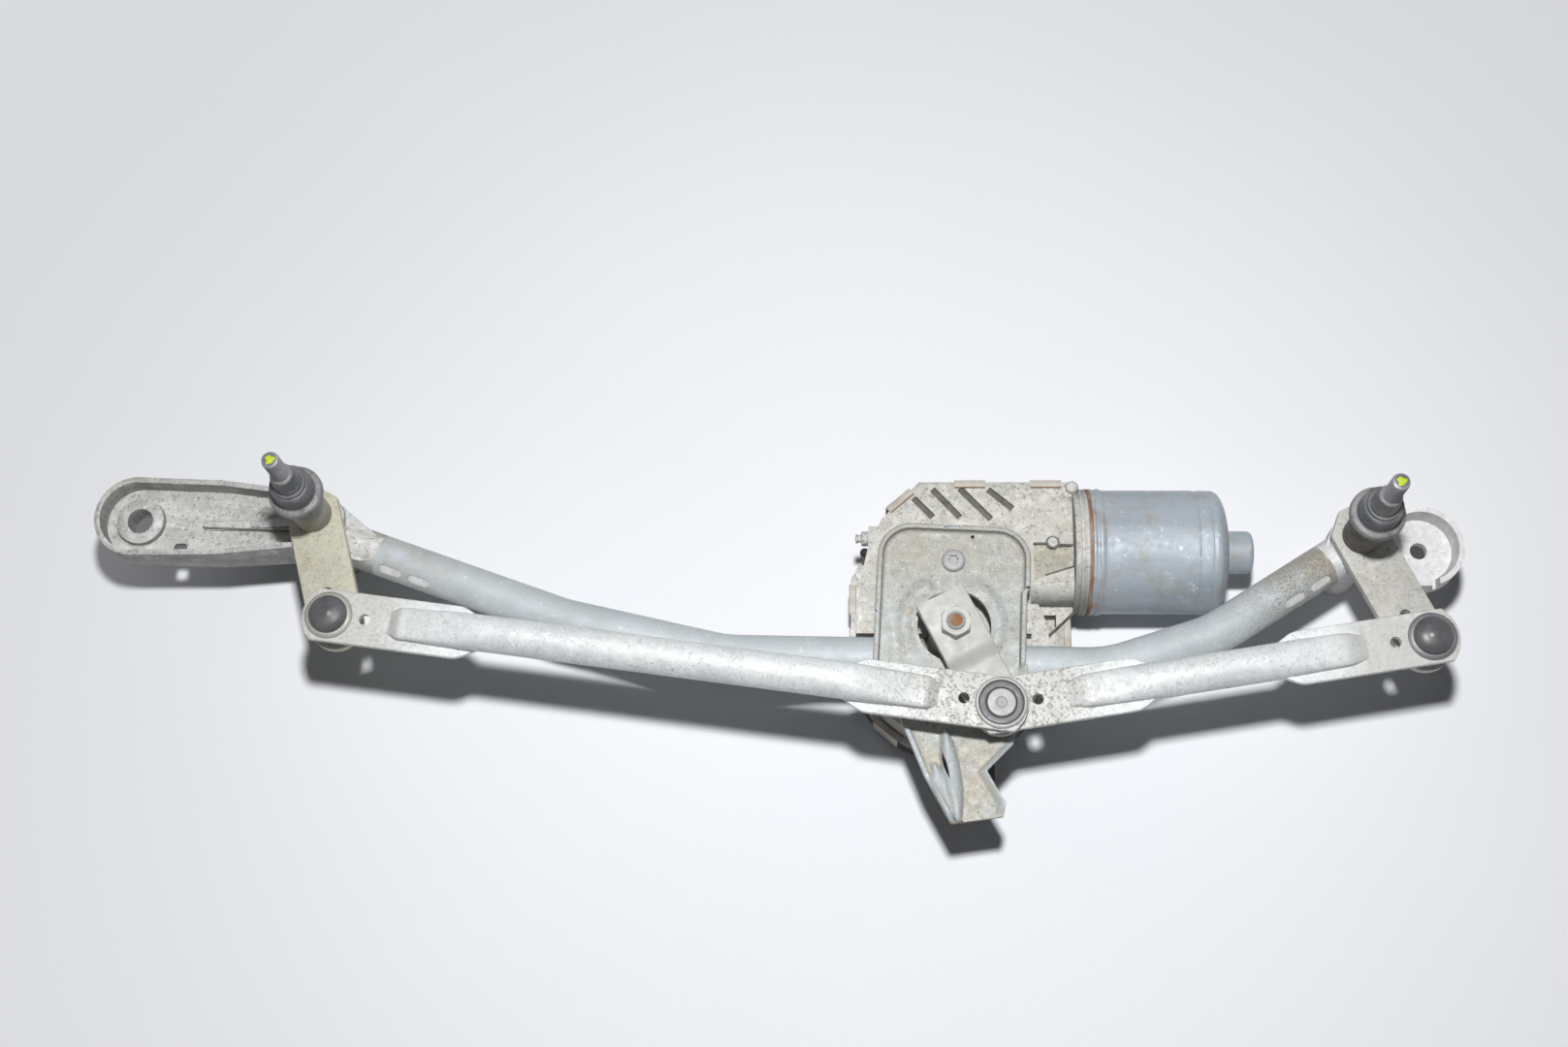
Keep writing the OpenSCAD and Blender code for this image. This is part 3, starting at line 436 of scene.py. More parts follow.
def tint(base, k):
    """A colour times one number or three, held under the palest tone."""
    return tuple(np.minimum(np.array(tuple(base)) * k, PALEST))


def zinc_layers(name, base, dirt, pits):
    """Zinc plate with pale bloom, grey patches, fine dark pits and a little brown dirt."""
    f = Finish(name, base, 0.15, (0.5, 0.7), 0.3)
    f.layer(tint(base, 0.78), 42, (0.45, 0.68), 0.5)
    f.layer(tint(base, 1.15), 170, (0.5, 0.62), 0.5)
    f.layer((0.46, 0.52, 0.55), 28, (0.54, 0.7), 0.3, seed=2.0)
    f.layer((0.36, 0.31, 0.21), 60, (0.56, 0.72), dirt, seed=4.0)
    f.layer(tint(base, 0.45), 380, (0.54, 0.66), 0.6 * pits, seed=1.0)
    f.layer(tint(base, 1.25), 620, (0.58, 0.66), 0.6, seed=6.0)
    return f.layer((0.06, 0.055, 0.045), 900, (0.63, 0.68), pits, detail=2, seed=3.0)


def weathered_casting(name, base, dirt=0.6, painted_wall_shade=0.7, grain=1.0):
    """Die-cast metal: mottled grey and tan, dark grains, dirt in patches, a grainy skin, and painted shade
    on upright walls.
    """
    f = Finish(name, base, 0.2, (0.55, 0.75), 0.3)
    f.layer(tint(base, 0.7), 60, (0.44, 0.66), 0.45 * grain)
    f.layer(tint(base, 1.25), 190, (0.5, 0.64), 0.6, seed=1.0)
    f.layer((0.40, 0.34, 0.23), 48, (0.52, 0.7), dirt, seed=5.0)
    f.layer(tint(base, 0.4), 360, (0.55, 0.67), 0.6 * grain, seed=2.0)
    f.layer(tint(base, 1.35), 560, (0.58, 0.66), 0.6, seed=6.0)
    f.layer((0.07, 0.065, 0.055), 850, (0.63, 0.69), 0.8 * grain, detail=2, seed=3.0)
    # Painted shade: faces that turn away from upward are darkened, standing for the shade that falls on
    # upright walls.
    f.layer(tint(base, 0.32), 110, (0.15, 0.5), painted_wall_shade, within=(("Up", 0.8, 0.4),), seed=8.0)
    return f.done(((800, 0.2, 0.55), (120, 0.25, 0.4)))


def plain_finish(name, base, metallic, rough, spot, amount=0.5, bump=0.06, specular=0.5):
    """A smoother finish: two tones and a fine grain."""
    f = Finish(name, base, metallic, rough, specular)
    f.layer(spot, 90, (0.45, 0.7), amount)
    f.layer(tint(base, 0.6), 700, (0.58, 0.75), amount * 0.6, seed=1.0)
    return f.done(((900, bump, 0.4),))


def rod_finish(name, base, ends):
    """Zinc of a push rod: greyer towards its ends, with specks there."""
    f = zinc_layers("pitted_zinc_" + name, base, 0.2, 0.45)
    for low, high, specks in ends:
        f.layer((0.53, 0.53, 0.50), 110, (0.15, 0.45), 0.8, within=(("X", low, high),), seed=7.0)
        f.layer((0.20, 0.185, 0.15), 700, (0.51, 0.59), specks, within=(("X", low, high),), seed=9.0)
    return f.done(ZINC_BUMP)


def plate_finish(base):
    """Zinc of the motor plate: pale in the middle, dirty at its top and foot, with painted shade on upright
    sides.
    """
    f = zinc_layers("pitted_zinc_plate", base, 0.5, 0.7)
    f.layer((0.50, 0.54, 0.55), 120, (0.42, 0.62), 0.6, within=(("Y", 24, 6), ("Y", -40, -30)), seed=7.0)
    f.layer((0.38, 0.36, 0.30), 90, (0.36, 0.6), 0.7, within=(("Y", 22, 34),), seed=8.0)
    f.layer((0.44, 0.40, 0.32), 80, (0.34, 0.6), 0.7, within=(("Y", -48, -58),), seed=9.0)
    raised = (("Y", -44, -48), ("Z", 60.6, 61.3))
    f.layer((0.42, 0.46, 0.48), 100, (0.3, 0.5), 0.85, within=raised, seed=2.5)
    # Painted shade: the upright sides of the turned-up edges are darkened.
    f.layer((0.14, 0.13, 0.11), 130, (0.2, 0.5), 0.6, within=(("Up", 0.5, 0.15),), seed=8.5)
    f.layer((0.80, 0.82, 0.80), 900, (0.60, 0.67), 0.55, seed=11.0)
    return f.done(((950, 0.16, 0.6), (160, 0.18, 0.4)))


def tube_finish(base):
    """Galvanised tube: soft blue-grey clouds, brown dirt at both outer ends and fine specks."""
    f = Finish("galvanised_tube", base, 0.1, (0.52, 0.66), 0.3)
    f.layer(tint(base, 0.8), 30, (0.42, 0.7), 0.6)
    f.layer(tint(base, 1.12), 70, (0.5, 0.7), 0.7, seed=1.0)
    f.layer((0.33, 0.29, 0.22), 60, (0.32, 0.56), 0.8, within=(("X", 120, 172), ("Y", 0, 26)))
    f.layer((0.40, 0.36, 0.28), 110, (0.4, 0.65), 0.6, within=(("X", -215, -275),), seed=2.0)
    f.layer((0.20, 0.17, 0.12), 950, (0.48, 0.60), 0.6, within=(("X", 118, 155),), seed=5.0)
    f.layer((0.78, 0.80, 0.80), 300, (0.63, 0.70), 0.5, seed=6.0)
    f.layer((0.18, 0.17, 0.15), 900, (0.64, 0.72), 0.5, detail=2, seed=3.0)
    return f.done(((600, 0.05, 0.3), (40, 0.3, 0.2)))


def can_finish(base):
    """Zinc of the motor can: clouds drawn along it, tan stains, pale flecks and rust at the flange."""
    f = Finish("motor_can_zinc", base, 0.25, (0.46, 0.62), 0.4)
    f.layer(tint(base, 0.72), 34, (0.42, 0.68), 0.7, stretch=(0.5, 1.4, 1.4))
    f.layer((0.50, 0.55, 0.58), 60, (0.55, 0.72), 0.6, seed=1.0)
    f.layer((0.36, 0.33, 0.27), 70, (0.56, 0.70), 0.6, seed=4.0)
    f.layer((0.75, 0.78, 0.80), 260, (0.62, 0.70), 0.6, seed=8.0)
    f.layer((0.30, 0.17, 0.09), 120, (0.5, 0.66), 0.8, within=(("X", 74, 66),), seed=6.0)
    f.layer((0.12, 0.11, 0.10), 800, (0.66, 0.72), 0.6, detail=2, seed=3.0)
    return f.done(((500, 0.05, 0.3), (45, 0.4, 0.2)))


def collar_finish(side):
    """Phosphated steel of a collar, brighter on its flange."""
    flange = side.lever_top + 34.2
    f = Finish("phosphated_collar_" + side.name, (0.13, 0.134, 0.142), 0.25, (0.5, 0.7), 0.3)
    f.layer((0.22, 0.22, 0.22), 110, (0.45, 0.66), 0.7)
    bright = (("Z", flange + 0.3, flange - 0.3),)
    f.layer((0.27, 0.27, 0.265), 140, (0.32, 0.54), 0.85, within=bright, seed=2.0)
    f.layer((0.04, 0.04, 0.04), 600, (0.58, 0.7), 0.6, seed=1.0)
    return f.done(((900, 0.08, 0.5),))


# Plain finishes: name, colour, metallic, roughness, spot colour, and where given amount, bump and specular
PLAIN = {
    "crank": ("bright_zinc", (0.48, 0.485, 0.465), 0.15, (0.52, 0.68), (0.40, 0.405, 0.38), 0.7, 0.1),
    "steel": ("bare_steel", (0.42, 0.42, 0.42), 0.2, (0.5, 0.66), (0.31, 0.31, 0.30), 0.6, 0.08, 0.35),
    "ring": ("ring_steel", (0.42, 0.42, 0.41), 0.25, (0.45, 0.62), (0.28, 0.28, 0.275)),
    "left_ring": ("ring_steel_left", (0.36, 0.35, 0.32), 0.4, (0.4, 0.6), (0.24, 0.235, 0.22)),
    "right_ring": ("ring_steel_right", (0.17, 0.172, 0.175), 0.5, (0.36, 0.55), (0.28, 0.28, 0.275)),
    "knurl": ("spindle_steel", (0.22, 0.225, 0.23), 0.35, (0.4, 0.58), (0.33, 0.33, 0.33), 0.7),
    "circlip": ("phosphated_steel", (0.13, 0.135, 0.14), 0.6, (0.36, 0.58), (0.26, 0.26, 0.26), 0.7),
    "cover": ("cover_plastic", (0.03, 0.031, 0.033), 0.0, (0.45, 0.6), (0.06, 0.06, 0.06)),
    "rubber": ("seal_rubber", (0.015, 0.015, 0.015), 0.0, (0.7, 0.85), (0.03, 0.03, 0.03)),
    "rust": ("rusted_edge", (0.27, 0.135, 0.065), 0.1, (0.7, 0.9), (0.42, 0.36, 0.30), 0.9, 0.2),
    "clip": ("tarnished_spring", (0.43, 0.405, 0.365), 0.25, (0.5, 0.66), (0.27, 0.22, 0.17), 0.6),
    "lip": ("tarnished_lip", (0.20, 0.10, 0.055), 0.2, (0.6, 0.8), (0.33, 0.22, 0.15), 0.7, 0.15),
    "hook": ("dull_hook", (0.27, 0.30, 0.32), 0.3, (0.45, 0.65), (0.38, 0.41, 0.42), 0.6),
    "board": ("board", (0.02, 0.13, 0.05), 0.0, (0.3, 0.5), (0.03, 0.20, 0.08)),
    "brass": ("brass_pins", (0.62, 0.46, 0.15), 0.9, (0.25, 0.4), (0.45, 0.32, 0.10)),
    "bronze": ("sintered_bronze", (0.42, 0.28, 0.12), 0.8, (0.4, 0.6), (0.28, 0.18, 0.08)),
    "copper": ("copper", (0.50, 0.20, 0.07), 0.8, (0.3, 0.5), (0.32, 0.12, 0.04)),
    "ferrite": ("ferrite", (0.05, 0.05, 0.052), 0.1, (0.6, 0.8), (0.08, 0.08, 0.08)),
    "sheet": ("core_sheet", (0.18, 0.18, 0.19), 0.7, (0.4, 0.6), (0.25, 0.24, 0.23)),
    "gear": ("gear_plastic", (0.68, 0.64, 0.52), 0.0, (0.4, 0.55), (0.60, 0.55, 0.42)),
}


def make_finishes(p):
    """Every finish of the part, by name."""
    m = MADE
    m["left_rod"] = rod_finish("left_rod", tint(p.zinc, 1.16), ((-235, -268, 0.25), (-45, -5, 0.7)))
    m["right_rod"] = rod_finish("right_rod", tint(p.zinc, 1.16), ((75, 45, 0.7), (165, 190, 0.15)))
    m["plate"] = plate_finish(tint(p.zinc, (0.66, 0.645, 0.60)))
    m["tube"] = tube_finish(p.tube)
    m["can"] = can_finish(p.can)
    m["cast"] = weathered_casting("die_cast", p.cast)
    m["bracket"] = weathered_casting("die_cast_left", (0.55, 0.55, 0.535), 0.3)
    m["stake"] = weathered_casting("staked_casting", (0.72, 0.72, 0.72), 0.1, 0.0, 0.4)
    m["cup"] = weathered_casting("die_cast_right", (0.68, 0.68, 0.68), 0.1, 0.3, 0.35)
    # Painted shade: a dark casting for the housing's grooves and the pocket's edge lines.
    m["groove"] = weathered_casting("dirty_groove", (0.13, 0.125, 0.11))
    m["pocket"] = weathered_casting("stained_casting", (0.42, 0.40, 0.34))
    for key, name, base, dirt, pits in (
        ("left_lever", "yellow_zinc_left", p.lever, 0.5, 0.55),
        ("right_lever", "yellow_zinc_right", tint(p.lever, (0.96, 0.97, 1.12)), 0.5, 0.6),
        ("left_neck", "worn_neck_left", (0.30, 0.285, 0.235), 0.6, 0.6),
        # The right neck's dark tone is partly its dark brown surface and partly painted shade under the
        # collar.
        ("right_neck", "greasy_neck_right", (0.12, 0.11, 0.095), 0.6, 0.6),
    ):
        m[key] = zinc_layers(name, base, dirt, pits).done(ZINC_BUMP)
    for side in SIDES:
        m[side.name + "_collar"] = collar_finish(side)
    for key, row in PLAIN.items():
        m[key] = plain_finish(*row)
    grey = (0.14, 0.14, 0.145)
    m["black"] = plain_finish("black_cap", p.plastic, 0.0, (0.32, 0.5), grey, 0.6, 0.06, 0.5)
    m["paint"] = plain_finish("paint_mark", p.paint, 0.0, (0.4, 0.6), (0.45, 0.60, 0.02), 0.5)


# Settings


def colour_of(name, description, default):
    """A colour setting."""
    return bpy.props.FloatVectorProperty(
        name=name, description=description, subtype="COLOR", default=default, min=0, max=1)


class WiperLooks(bpy.types.PropertyGroup):
    """Colours and sizes of the looks."""

    zinc: colour_of("Zinc", "Zinc plate of the rods and the motor plate", (0.62, 0.645, 0.65))
    cast: colour_of("Casting", "Die-cast metal of the housing", (0.53, 0.52, 0.485))
    tube: colour_of("Tube", "Galvanised frame tubes", (0.51, 0.555, 0.575))
    can: colour_of("Motor can", "Zinc plate of the motor can", (0.41, 0.46, 0.505))
    lever: colour_of("Lever", "Yellowed zinc of the levers", (0.52, 0.505, 0.41))
    plastic: colour_of("Caps", "Black plastic of the pivot caps", (0.075, 0.075, 0.08))
    paint: colour_of("Paint", "Paint marks on the spindle tips", (0.50, 0.61, 0.012))
    pitch: bpy.props.FloatProperty(
        name="Thread pitch", description="Pitch of the spindle and crank threads", unit="LENGTH",
        default=0.00125, min=0.0005, max=0.002)
    teeth: bpy.props.IntProperty(
        name="Knurl teeth", description="Teeth round a spindle's cone", default=36, min=12, max=60)
    edge: bpy.props.FloatProperty(
        name="Casting edge", description="Rounding of the castings' edges", unit="LENGTH",
        default=0.0006, min=0, max=0.002)
    key: bpy.props.FloatProperty(
        name="Key light", description="Power of the key lamp", default=12.0, min=0, max=200)
    fill: bpy.props.FloatProperty(
        name="Fill", description="Strength of the surrounding light", default=0.025, min=0, max=2)


class Builder(bpy.types.Operator):
    """Base of the building operators"""

    bl_options = {"REGISTER", "UNDO"}

    def execute(self, context):
        self.build(context.scene.wiper_looks)
        return {"FINISHED"}


# Stage

PALE = (0.80, 0.81, 0.83, 1)
FADE = (0.34, 0.86)
FLOOR_HALF, FLOOR_Z, FLOOR_STEPS = 4000.0, -0.05, 9
PHOTO_WIDTH, FOCAL_PIXELS, SENSOR = 1617, 2101.77, 36.0
CAMERA_AT = (-0.04183, -0.25436, 0.97919)
CAMERA_AXES = ((0.99922, 0.01255, -0.0375), (0.0, 0.94832, 0.31730), (0.03954, -0.31706, 0.94758))
AIM = Vector((-0.06, 0, 0))
# Lamps: name, place and size in metres, and share of the key's power
LAMPS = (("key", (-0.03, 0.01, 1.12), 0.07, 1.0), ("side", (-1.3, 0.5, 1.1), 0.8, 0.045))


def seen(tree):
    """Socket that is 1 for rays from the camera and for rays mirrored or let through by a surface."""
    path = node(tree, "LightPath", {})
    value = path["Is Camera Ray"]
    for name in ("Is Glossy Ray", "Is Transmission Ray"):
        value = node(tree, "Math", {0: value, 1: path[name]}, operation="MAXIMUM")["Value"]
    return value


def mixed(tree, share, near, far, output):
    """Joins two shaders by a share into an output."""
    mix = node(tree, "MixShader", {0: share, 1: near, 2: far})
    tree.links.new(mix["Shader"], tree.nodes[output].inputs["Surface"])


def far_floor(finish):
    """Lets the floor fade into the pale backdrop far from the part, where the lamps no longer reach it."""
    reach = finish.node("VectorMath", {0: finish.place}, operation="LENGTH")["Value"]
    share = finish.times(finish.ranged(reach, FADE, (0.0, 1.0)), seen(finish.tree))
    glow = finish.node("Emission", {"Color": PALE})["Emission"]
    mixed(finish.tree, share, finish.shader.outputs["BSDF"], glow, "Material Output")


def studio_world(fill):
    """Surrounding light of a low strength that is seen as a pale backdrop."""
    world = bpy.data.worlds.new("studio")
    world.use_nodes = True
    tree = world.node_tree
    dim = tree.nodes["Background"]
    dim.inputs["Color"].default_value = (0.96, 0.98, 1.0, 1)
    dim.inputs["Strength"].default_value = fill
    pale = node(tree, "Background", {"Color": PALE})["Background"]
    mixed(tree, seen(tree), dim.outputs["Background"], pale, "World Output")
    return world


class WIPER_OT_stage(Builder):
    """Floor, lamps, surrounding light and the camera"""

    bl_idname = "wiper.stage"
    bl_label = "Stage"

    def build(self, p):
        scene = bpy.context.scene
        scene.view_settings.view_transform = "Standard"
        make_finishes(p)
        u = np.linspace(-FLOOR_HALF, FLOOR_HALF, FLOOR_STEPS)
        x, y = np.meshgrid(u, u, indexing="ij")
        points = np.stack((x, y, np.full_like(x, FLOOR_Z)), -1).reshape(-1, 3) * MM
        mesh = bpy.data.meshes.new("floor")
        mesh.from_pydata(points.tolist(), [], grid_faces(FLOOR_STEPS, FLOOR_STEPS, False, False).tolist())
        floor = bpy.data.objects.new("floor", mesh)
        scene.collection.objects.link(floor)
        f = Finish("pale_table", (0.89, 0.90, 0.93), 0.0, (0.6, 0.7), 0.2)
        f.layer((0.86, 0.88, 0.92), 1.6, (0.4, 0.6), 0.8)
        mesh.materials.append(f.done(()))
        far_floor(f)
        scene.world = studio_world(p.fill)
        for name, at, size, share in LAMPS:
            lamp = bpy.data.lights.new(name, "AREA")
            lamp.size, lamp.energy = size, p.key * share
            obj = bpy.data.objects.new(name, lamp)
            scene.collection.objects.link(obj)
            turn = (Vector(at) - AIM).to_track_quat("Z", "Y").to_matrix().to_4x4()
            obj.matrix_world = Matrix.Translation(at) @ turn
        camera = bpy.data.cameras.new("photo_view")
        camera.sensor_width, camera.lens = SENSOR, FOCAL_PIXELS / PHOTO_WIDTH * SENSOR
        camera.clip_start, camera.clip_end = 0.01, 50
        view = bpy.data.objects.new("photo_view", camera)
        scene.collection.objects.link(view)
        view.matrix_world = Matrix.Translation(CAMERA_AT) @ Matrix(CAMERA_AXES).transposed().to_4x4()
        scene.camera = view


# Frame tubes

# Name, path and roll of the stake slots about the tube
TUBES = (("left_tube", LEFT_PATH, 48), ("right_tube", RIGHT_PATH, -48))
STAKES_BACK = (9, 24)


class WIPER_OT_frame_tubes(Builder):
    """Both frame tubes, bent from round tube, with two stake slots at each outer end"""

    bl_idname = "wiper.frame_tubes"
    bl_label = "Frame tubes"

    def build(self, p):
        for name, path, roll in TUBES:
            skin = bent_tube(path, TUBE_Z, TUBE_R, TUBE_R - TUBE_WALL, TUBE_BEND)
            tube = add("frame_" + name, [skin], "frame", "tube", name, 50)
            head = heading(path[-2], path[-1])
            slots, pads = [
                [slot_cutter(path[-1], head, back, roll, *sizes) for back in STAKES_BACK]
                for sizes in (((11.5, 4.8), 4, 12), ((11.3, 4.6), 6.6, 9.0))]
            cut_out(tube, slots, 50)
            add(name + "_stakes", pads, "frame", "stake")


# Motor plate

TRAY_LOW, TRAY_HIGH, TRAY_LEFT, TRAY_RIGHT = -20.0, 51.6, -36.6, 35.4
TRAY_CORNERS, TRAY_TURN, TRAY_MIDDLE = (16.0, 16.0, 3.0, 3.0), -2.6, 16
SHAFT_HOLE, SHAFT_HOLE_R = np.array((0.0, 2.6)), 17.0
ARCH_X, ARCH_Y, ARCH_RISE = -1.4, 3.1, 1.25
UNDERSIDE = ((0, 60.4), (0, 58.6), (0.3, 57.85), (1.0, 57.5), (3.0, 57.5))
# Sections of a turned-up and of a bevelled edge: distance in from the edge, and height
EDGE = np.array((
    (6.0, 60), (4.6, 60), (3.7, 60.12), (3.0, 60.55), (2.65, 61.2), (2.5, 62.0), (2.48, 62.9),
    (2.25, 63.35), (1.8, 63.5), (0.75, 63.5), (0.25, 63.3), (0, 62.8), *UNDERSIDE))
BEVEL = np.array((
    (6.0, 60), (4.9, 60), (4.3, 60.1), (3.8, 60.4), (3.2, 60.8), (1.6, 61.7), (0.7, 62.1),
    (0.2, 62.1), (0, 61.7), *UNDERSIDE))
FOOT_LEFT = np.array(((-34.6, -16), (-34.6, -19), (-24.3, -45), (-14.8, -68.4), (-3.0, -90.0)))
FOOT_RIGHT = np.array((
    (33.4, -16), (33.4, -19), (26.1, -53.4), (13.8, -65.8), (22.2, -80.7), (20.9, -86.6)))
FOOT_DROP = 0.15
SADDLES = ((-32.35, -10), (31.15, -13.6))


def tray_ring(inset, corner_steps=12, side_steps=40):
    """Outline of the plate's tray, inset by some distance: arcs about the corner centres, joined by
    straights, stepped in at the lower right and turned a little."""
    r = np.array(TRAY_CORNERS)
    cx = np.array((TRAY_RIGHT, TRAY_LEFT, TRAY_LEFT, TRAY_RIGHT)) + r * (-1, 1, 1, -1)
    cy = np.array((TRAY_HIGH, TRAY_HIGH, TRAY_LOW, TRAY_LOW)) + r * (-1, -1, 1, 1)
    a = np.linspace(0, math.pi / 2, corner_steps)[None, :] + np.arange(4)[:, None] * math.pi / 2
    reach = np.maximum(r - inset, 0.15)[:, None]
    x, y = cx[:, None] + reach * np.cos(a), cy[:, None] + reach * np.sin(a)
    f = np.linspace(0, 1, side_steps + 2)[1:-1][None, :]
    nx, ny = np.roll(x[:, 0], -1)[:, None], np.roll(y[:, 0], -1)[:, None]
    x = np.concatenate((x, x[:, -1:] + (nx - x[:, -1:]) * f), 1).ravel()
    y = np.concatenate((y, y[:, -1:] + (ny - y[:, -1:]) * f), 1).ravel()
    x = x - 1.4 * ease(x, 24, 32) * (1 - ease(y, 19.8, 21.2))
    c, e = math.cos(math.radians(TRAY_TURN)), math.sin(math.radians(TRAY_TURN))
    dy = y - TRAY_MIDDLE
    return np.stack((x * c - dy * e, TRAY_MIDDLE + x * e + dy * c), -1)


def arch_height(x, y):
    """Height of the pressed arch: a rounded ridge at radius 22.6 about the shaft, open above and below."""
    r, a = np.hypot(x - ARCH_X, y - ARCH_Y), np.degrees(np.arctan2(y - ARCH_Y, x - ARCH_X))
    a = np.where(a < -90, a + 360, a)
    ridge = ease(r, 27.4, 22.5) * (1 - 0.55 * ease(r, 21.5, 17.5))
    ends = ease(a, -50, -24) * (1 - ease(a, 58, 72)) + ease(a, 108, 122) * (1 - ease(a, 204, 230))
    return ARCH_RISE * ridge * ends


def tray_shell():
    """Tray of the motor plate: its section runs from the shaft hole out along the top, over the turned-up
    edge and back underneath, and is carried round the tray's outline."""
    edge0, edge6 = tray_ring(0), tray_ring(EDGE[0, 0])
    a = np.arctan2(edge0[:, 1] - SHAFT_HOLE[1], edge0[:, 0] - SHAFT_HOLE[0])
    out = np.stack((np.cos(a), np.sin(a)), -1)
    rim = SHAFT_HOLE + SHAFT_HOLE_R * out
    level = lambda z: np.full(len(a), z)
    rows = [(rim + wide * out, level(z)) for z, wide in ((PLATE_LOW, 0.5), (57.9, 0.0), (59.5, 0.0))]
    for f in np.linspace(0.015, 1, 34):
        xy = rim + (edge6 - rim) * f
        rows.append((xy, PLATE_TOP + arch_height(xy[:, 0], xy[:, 1])))
    rise = ease(edge0[:, 1], -19.5, -15)
    for inset, z in EDGE[1:]:
        rows.append((tray_ring(inset), PLATE_TOP + (z - PLATE_TOP) * rise if z > PLATE_TOP else level(z)))
    rows += [(rim + (edge6 - rim) * f, level(PLATE_LOW)) for f in np.linspace(1, 0.05, 6)]
    return np.stack([np.concatenate((xy, z[:, None]), 1) for xy, z in rows]), True


def leaf(xy, a, b, half, height):
    """Height of a leaf-shaped press mark from a to b: a lens in plan, rounded across."""
    x, y = xy[..., 0], xy[..., 1]
    a, b = np.array(a), np.array(b)
    d = (b - a) / np.linalg.norm(b - a)
    s = ((x - a[0]) * d[0] + (y - a[1]) * d[1]) / np.linalg.norm(b - a)
    off = -(x - a[0]) * d[1] + (y - a[1]) * d[0]
    wide = half * np.sin(math.pi * np.clip(s, 0.001, 0.999)) ** 0.6
    return height * np.sqrt(np.clip(1 - (off / wide) ** 2, 0, 1)) * ((s > 0) & (s < 1))


def squeezed(z, k):
    """Heights with what stands over the plate's top taken down by a factor."""
    return np.where(z > PLATE_TOP, PLATE_TOP + (z - PLATE_TOP) * k, z)


def foot_shell(rows=84, columns=44):
    """Foot of the motor plate: a section across it, its left edge turned up and its right edge bevelled,
    carried down its length between two edge lines, with two leaf-shaped press marks raised from it."""
    f = np.linspace(0, 1, rows)
    yl, yr = -16 - 74 * f, -16 - 70.6 * f
    xl = np.interp(-yl, -FOOT_LEFT[:, 1], FOOT_LEFT[:, 0])
    xr = np.interp(-yr, -FOOT_RIGHT[:, 1], FOOT_RIGHT[:, 0])
    a, b = np.stack((xl, yl), -1), np.stack((xr, yr), -1)
    wide = np.linalg.norm(b - a, axis=1)[:, None]
    inset, z = EDGE[:, 0], squeezed(EDGE[:, 1] - FOOT_DROP, 0.5)
    wing, wing_z = BEVEL[:, 0], BEVEL[:, 1] - FOOT_DROP
    inner = np.linspace(0, 1, columns)[1:-1]
    top = inset[0] / wide + (1 - 2 * inset[0] / wide) * inner
    below = 1 - 3.0 / wide - (1 - 6.0 / wide) * np.linspace(0, 1, 8)[1:-1]
    w = np.concatenate((inset[::-1] / wide, top, 1 - wing / wide, below), 1)
    low = (1 - ease(f, 0.93, 1.0) * 0.8)[:, None]
    flat = np.full((rows, columns - 2), PLATE_TOP - FOOT_DROP)
    under = np.full((rows, 6), PLATE_LOW - FOOT_DROP)
    h = np.concatenate((squeezed(z, low)[:, ::-1], flat, squeezed(wing_z, low), under), 1)
    xy = a[:, None] + (b - a)[:, None] * w[..., None]
    marks = leaf(xy, (-5.2, -46), (0.6, -90.5), 4.4, 3.4)
    marks = np.maximum(marks, leaf(xy, (-10.5, -62), (-2.5, -90), 4.0, 2.2))
    h = h + np.where(h > 59.5, marks, 0)
    return np.concatenate((xy, h[..., None]), -1), False


def screw_shells(at):
    """Low round head with a six-lobed socket: the socket's wall is r = 2.1 + 0.35 cos 6t. A shank below."""
    lobes = 2.1 + 0.35 * np.cos(6 * angles(72))
    rows = [(0.05, 1.0), (lobes * 0.96, 1.0), (lobes, 1.2), (lobes, 2.35), (lobes + 0.2, 2.6)]
    rows += [(3.4, 2.6), (4.6, 2.45), (5.2, 2.0), (5.5, 1.2), (5.5, 0.0)]
    return [(stacked(at, rows, 72, PLATE_TOP), False), post(at, 2.4, PLATE_TOP - 11, PLATE_TOP + 0.2)]


class WIPER_OT_motor_plate(Builder):
    """The pressed motor plate with its foot"""

    bl_idname = "wiper.motor_plate"
    bl_label = "Motor plate"

    def build(self, p):
        shells = [tray_shell(), foot_shell()]
        plate = add("plate_pressing", shells, "frame", "plate", "motor_plate", 55)
        t = np.linspace(0, math.pi, 12)
        slit = np.concatenate((
            np.stack((-6.6 + 3.4 * t / math.pi - 1.1 * np.sin(t), -57 - 13 * t / math.pi), -1),
            np.stack((-3.2 - 3.4 * t / math.pi + 0.7 * np.sin(t), -70 + 13 * t / math.pi), -1)[1:-1]))
        cut_out(plate, [
            prism(slit, 50.0, 70.0), block((-0.3, 55), (8.8, 10), 60.1, 70),
            block((36.5, 20.4), (5.4, 1.6), 58.8, 70), post((9.2, 46.4), 0.9, 50, 66),
            post(SCREWS[0], 2.8, 50, 66), post((-36.8, 8.9), 0.9, 60.5, 70)], 55)
        add("housing_hook", [block((-0.3, 50.6), (7.6, 2.6), 56, 61.6, 0.5)], "frame", "hook")
        tabs = [bar(at, 90, (-11.0, 11.0), 1.25, 49.9, 16.0, 0.5) for at in SADDLES]
        add("plate_saddles", tabs, "frame", "plate")
        heads = [shell for at in SCREWS for shell in screw_shells(at)]
        add("motor_screw_set", heads, "frame", "steel", "motor_screws", 45)


# Castings

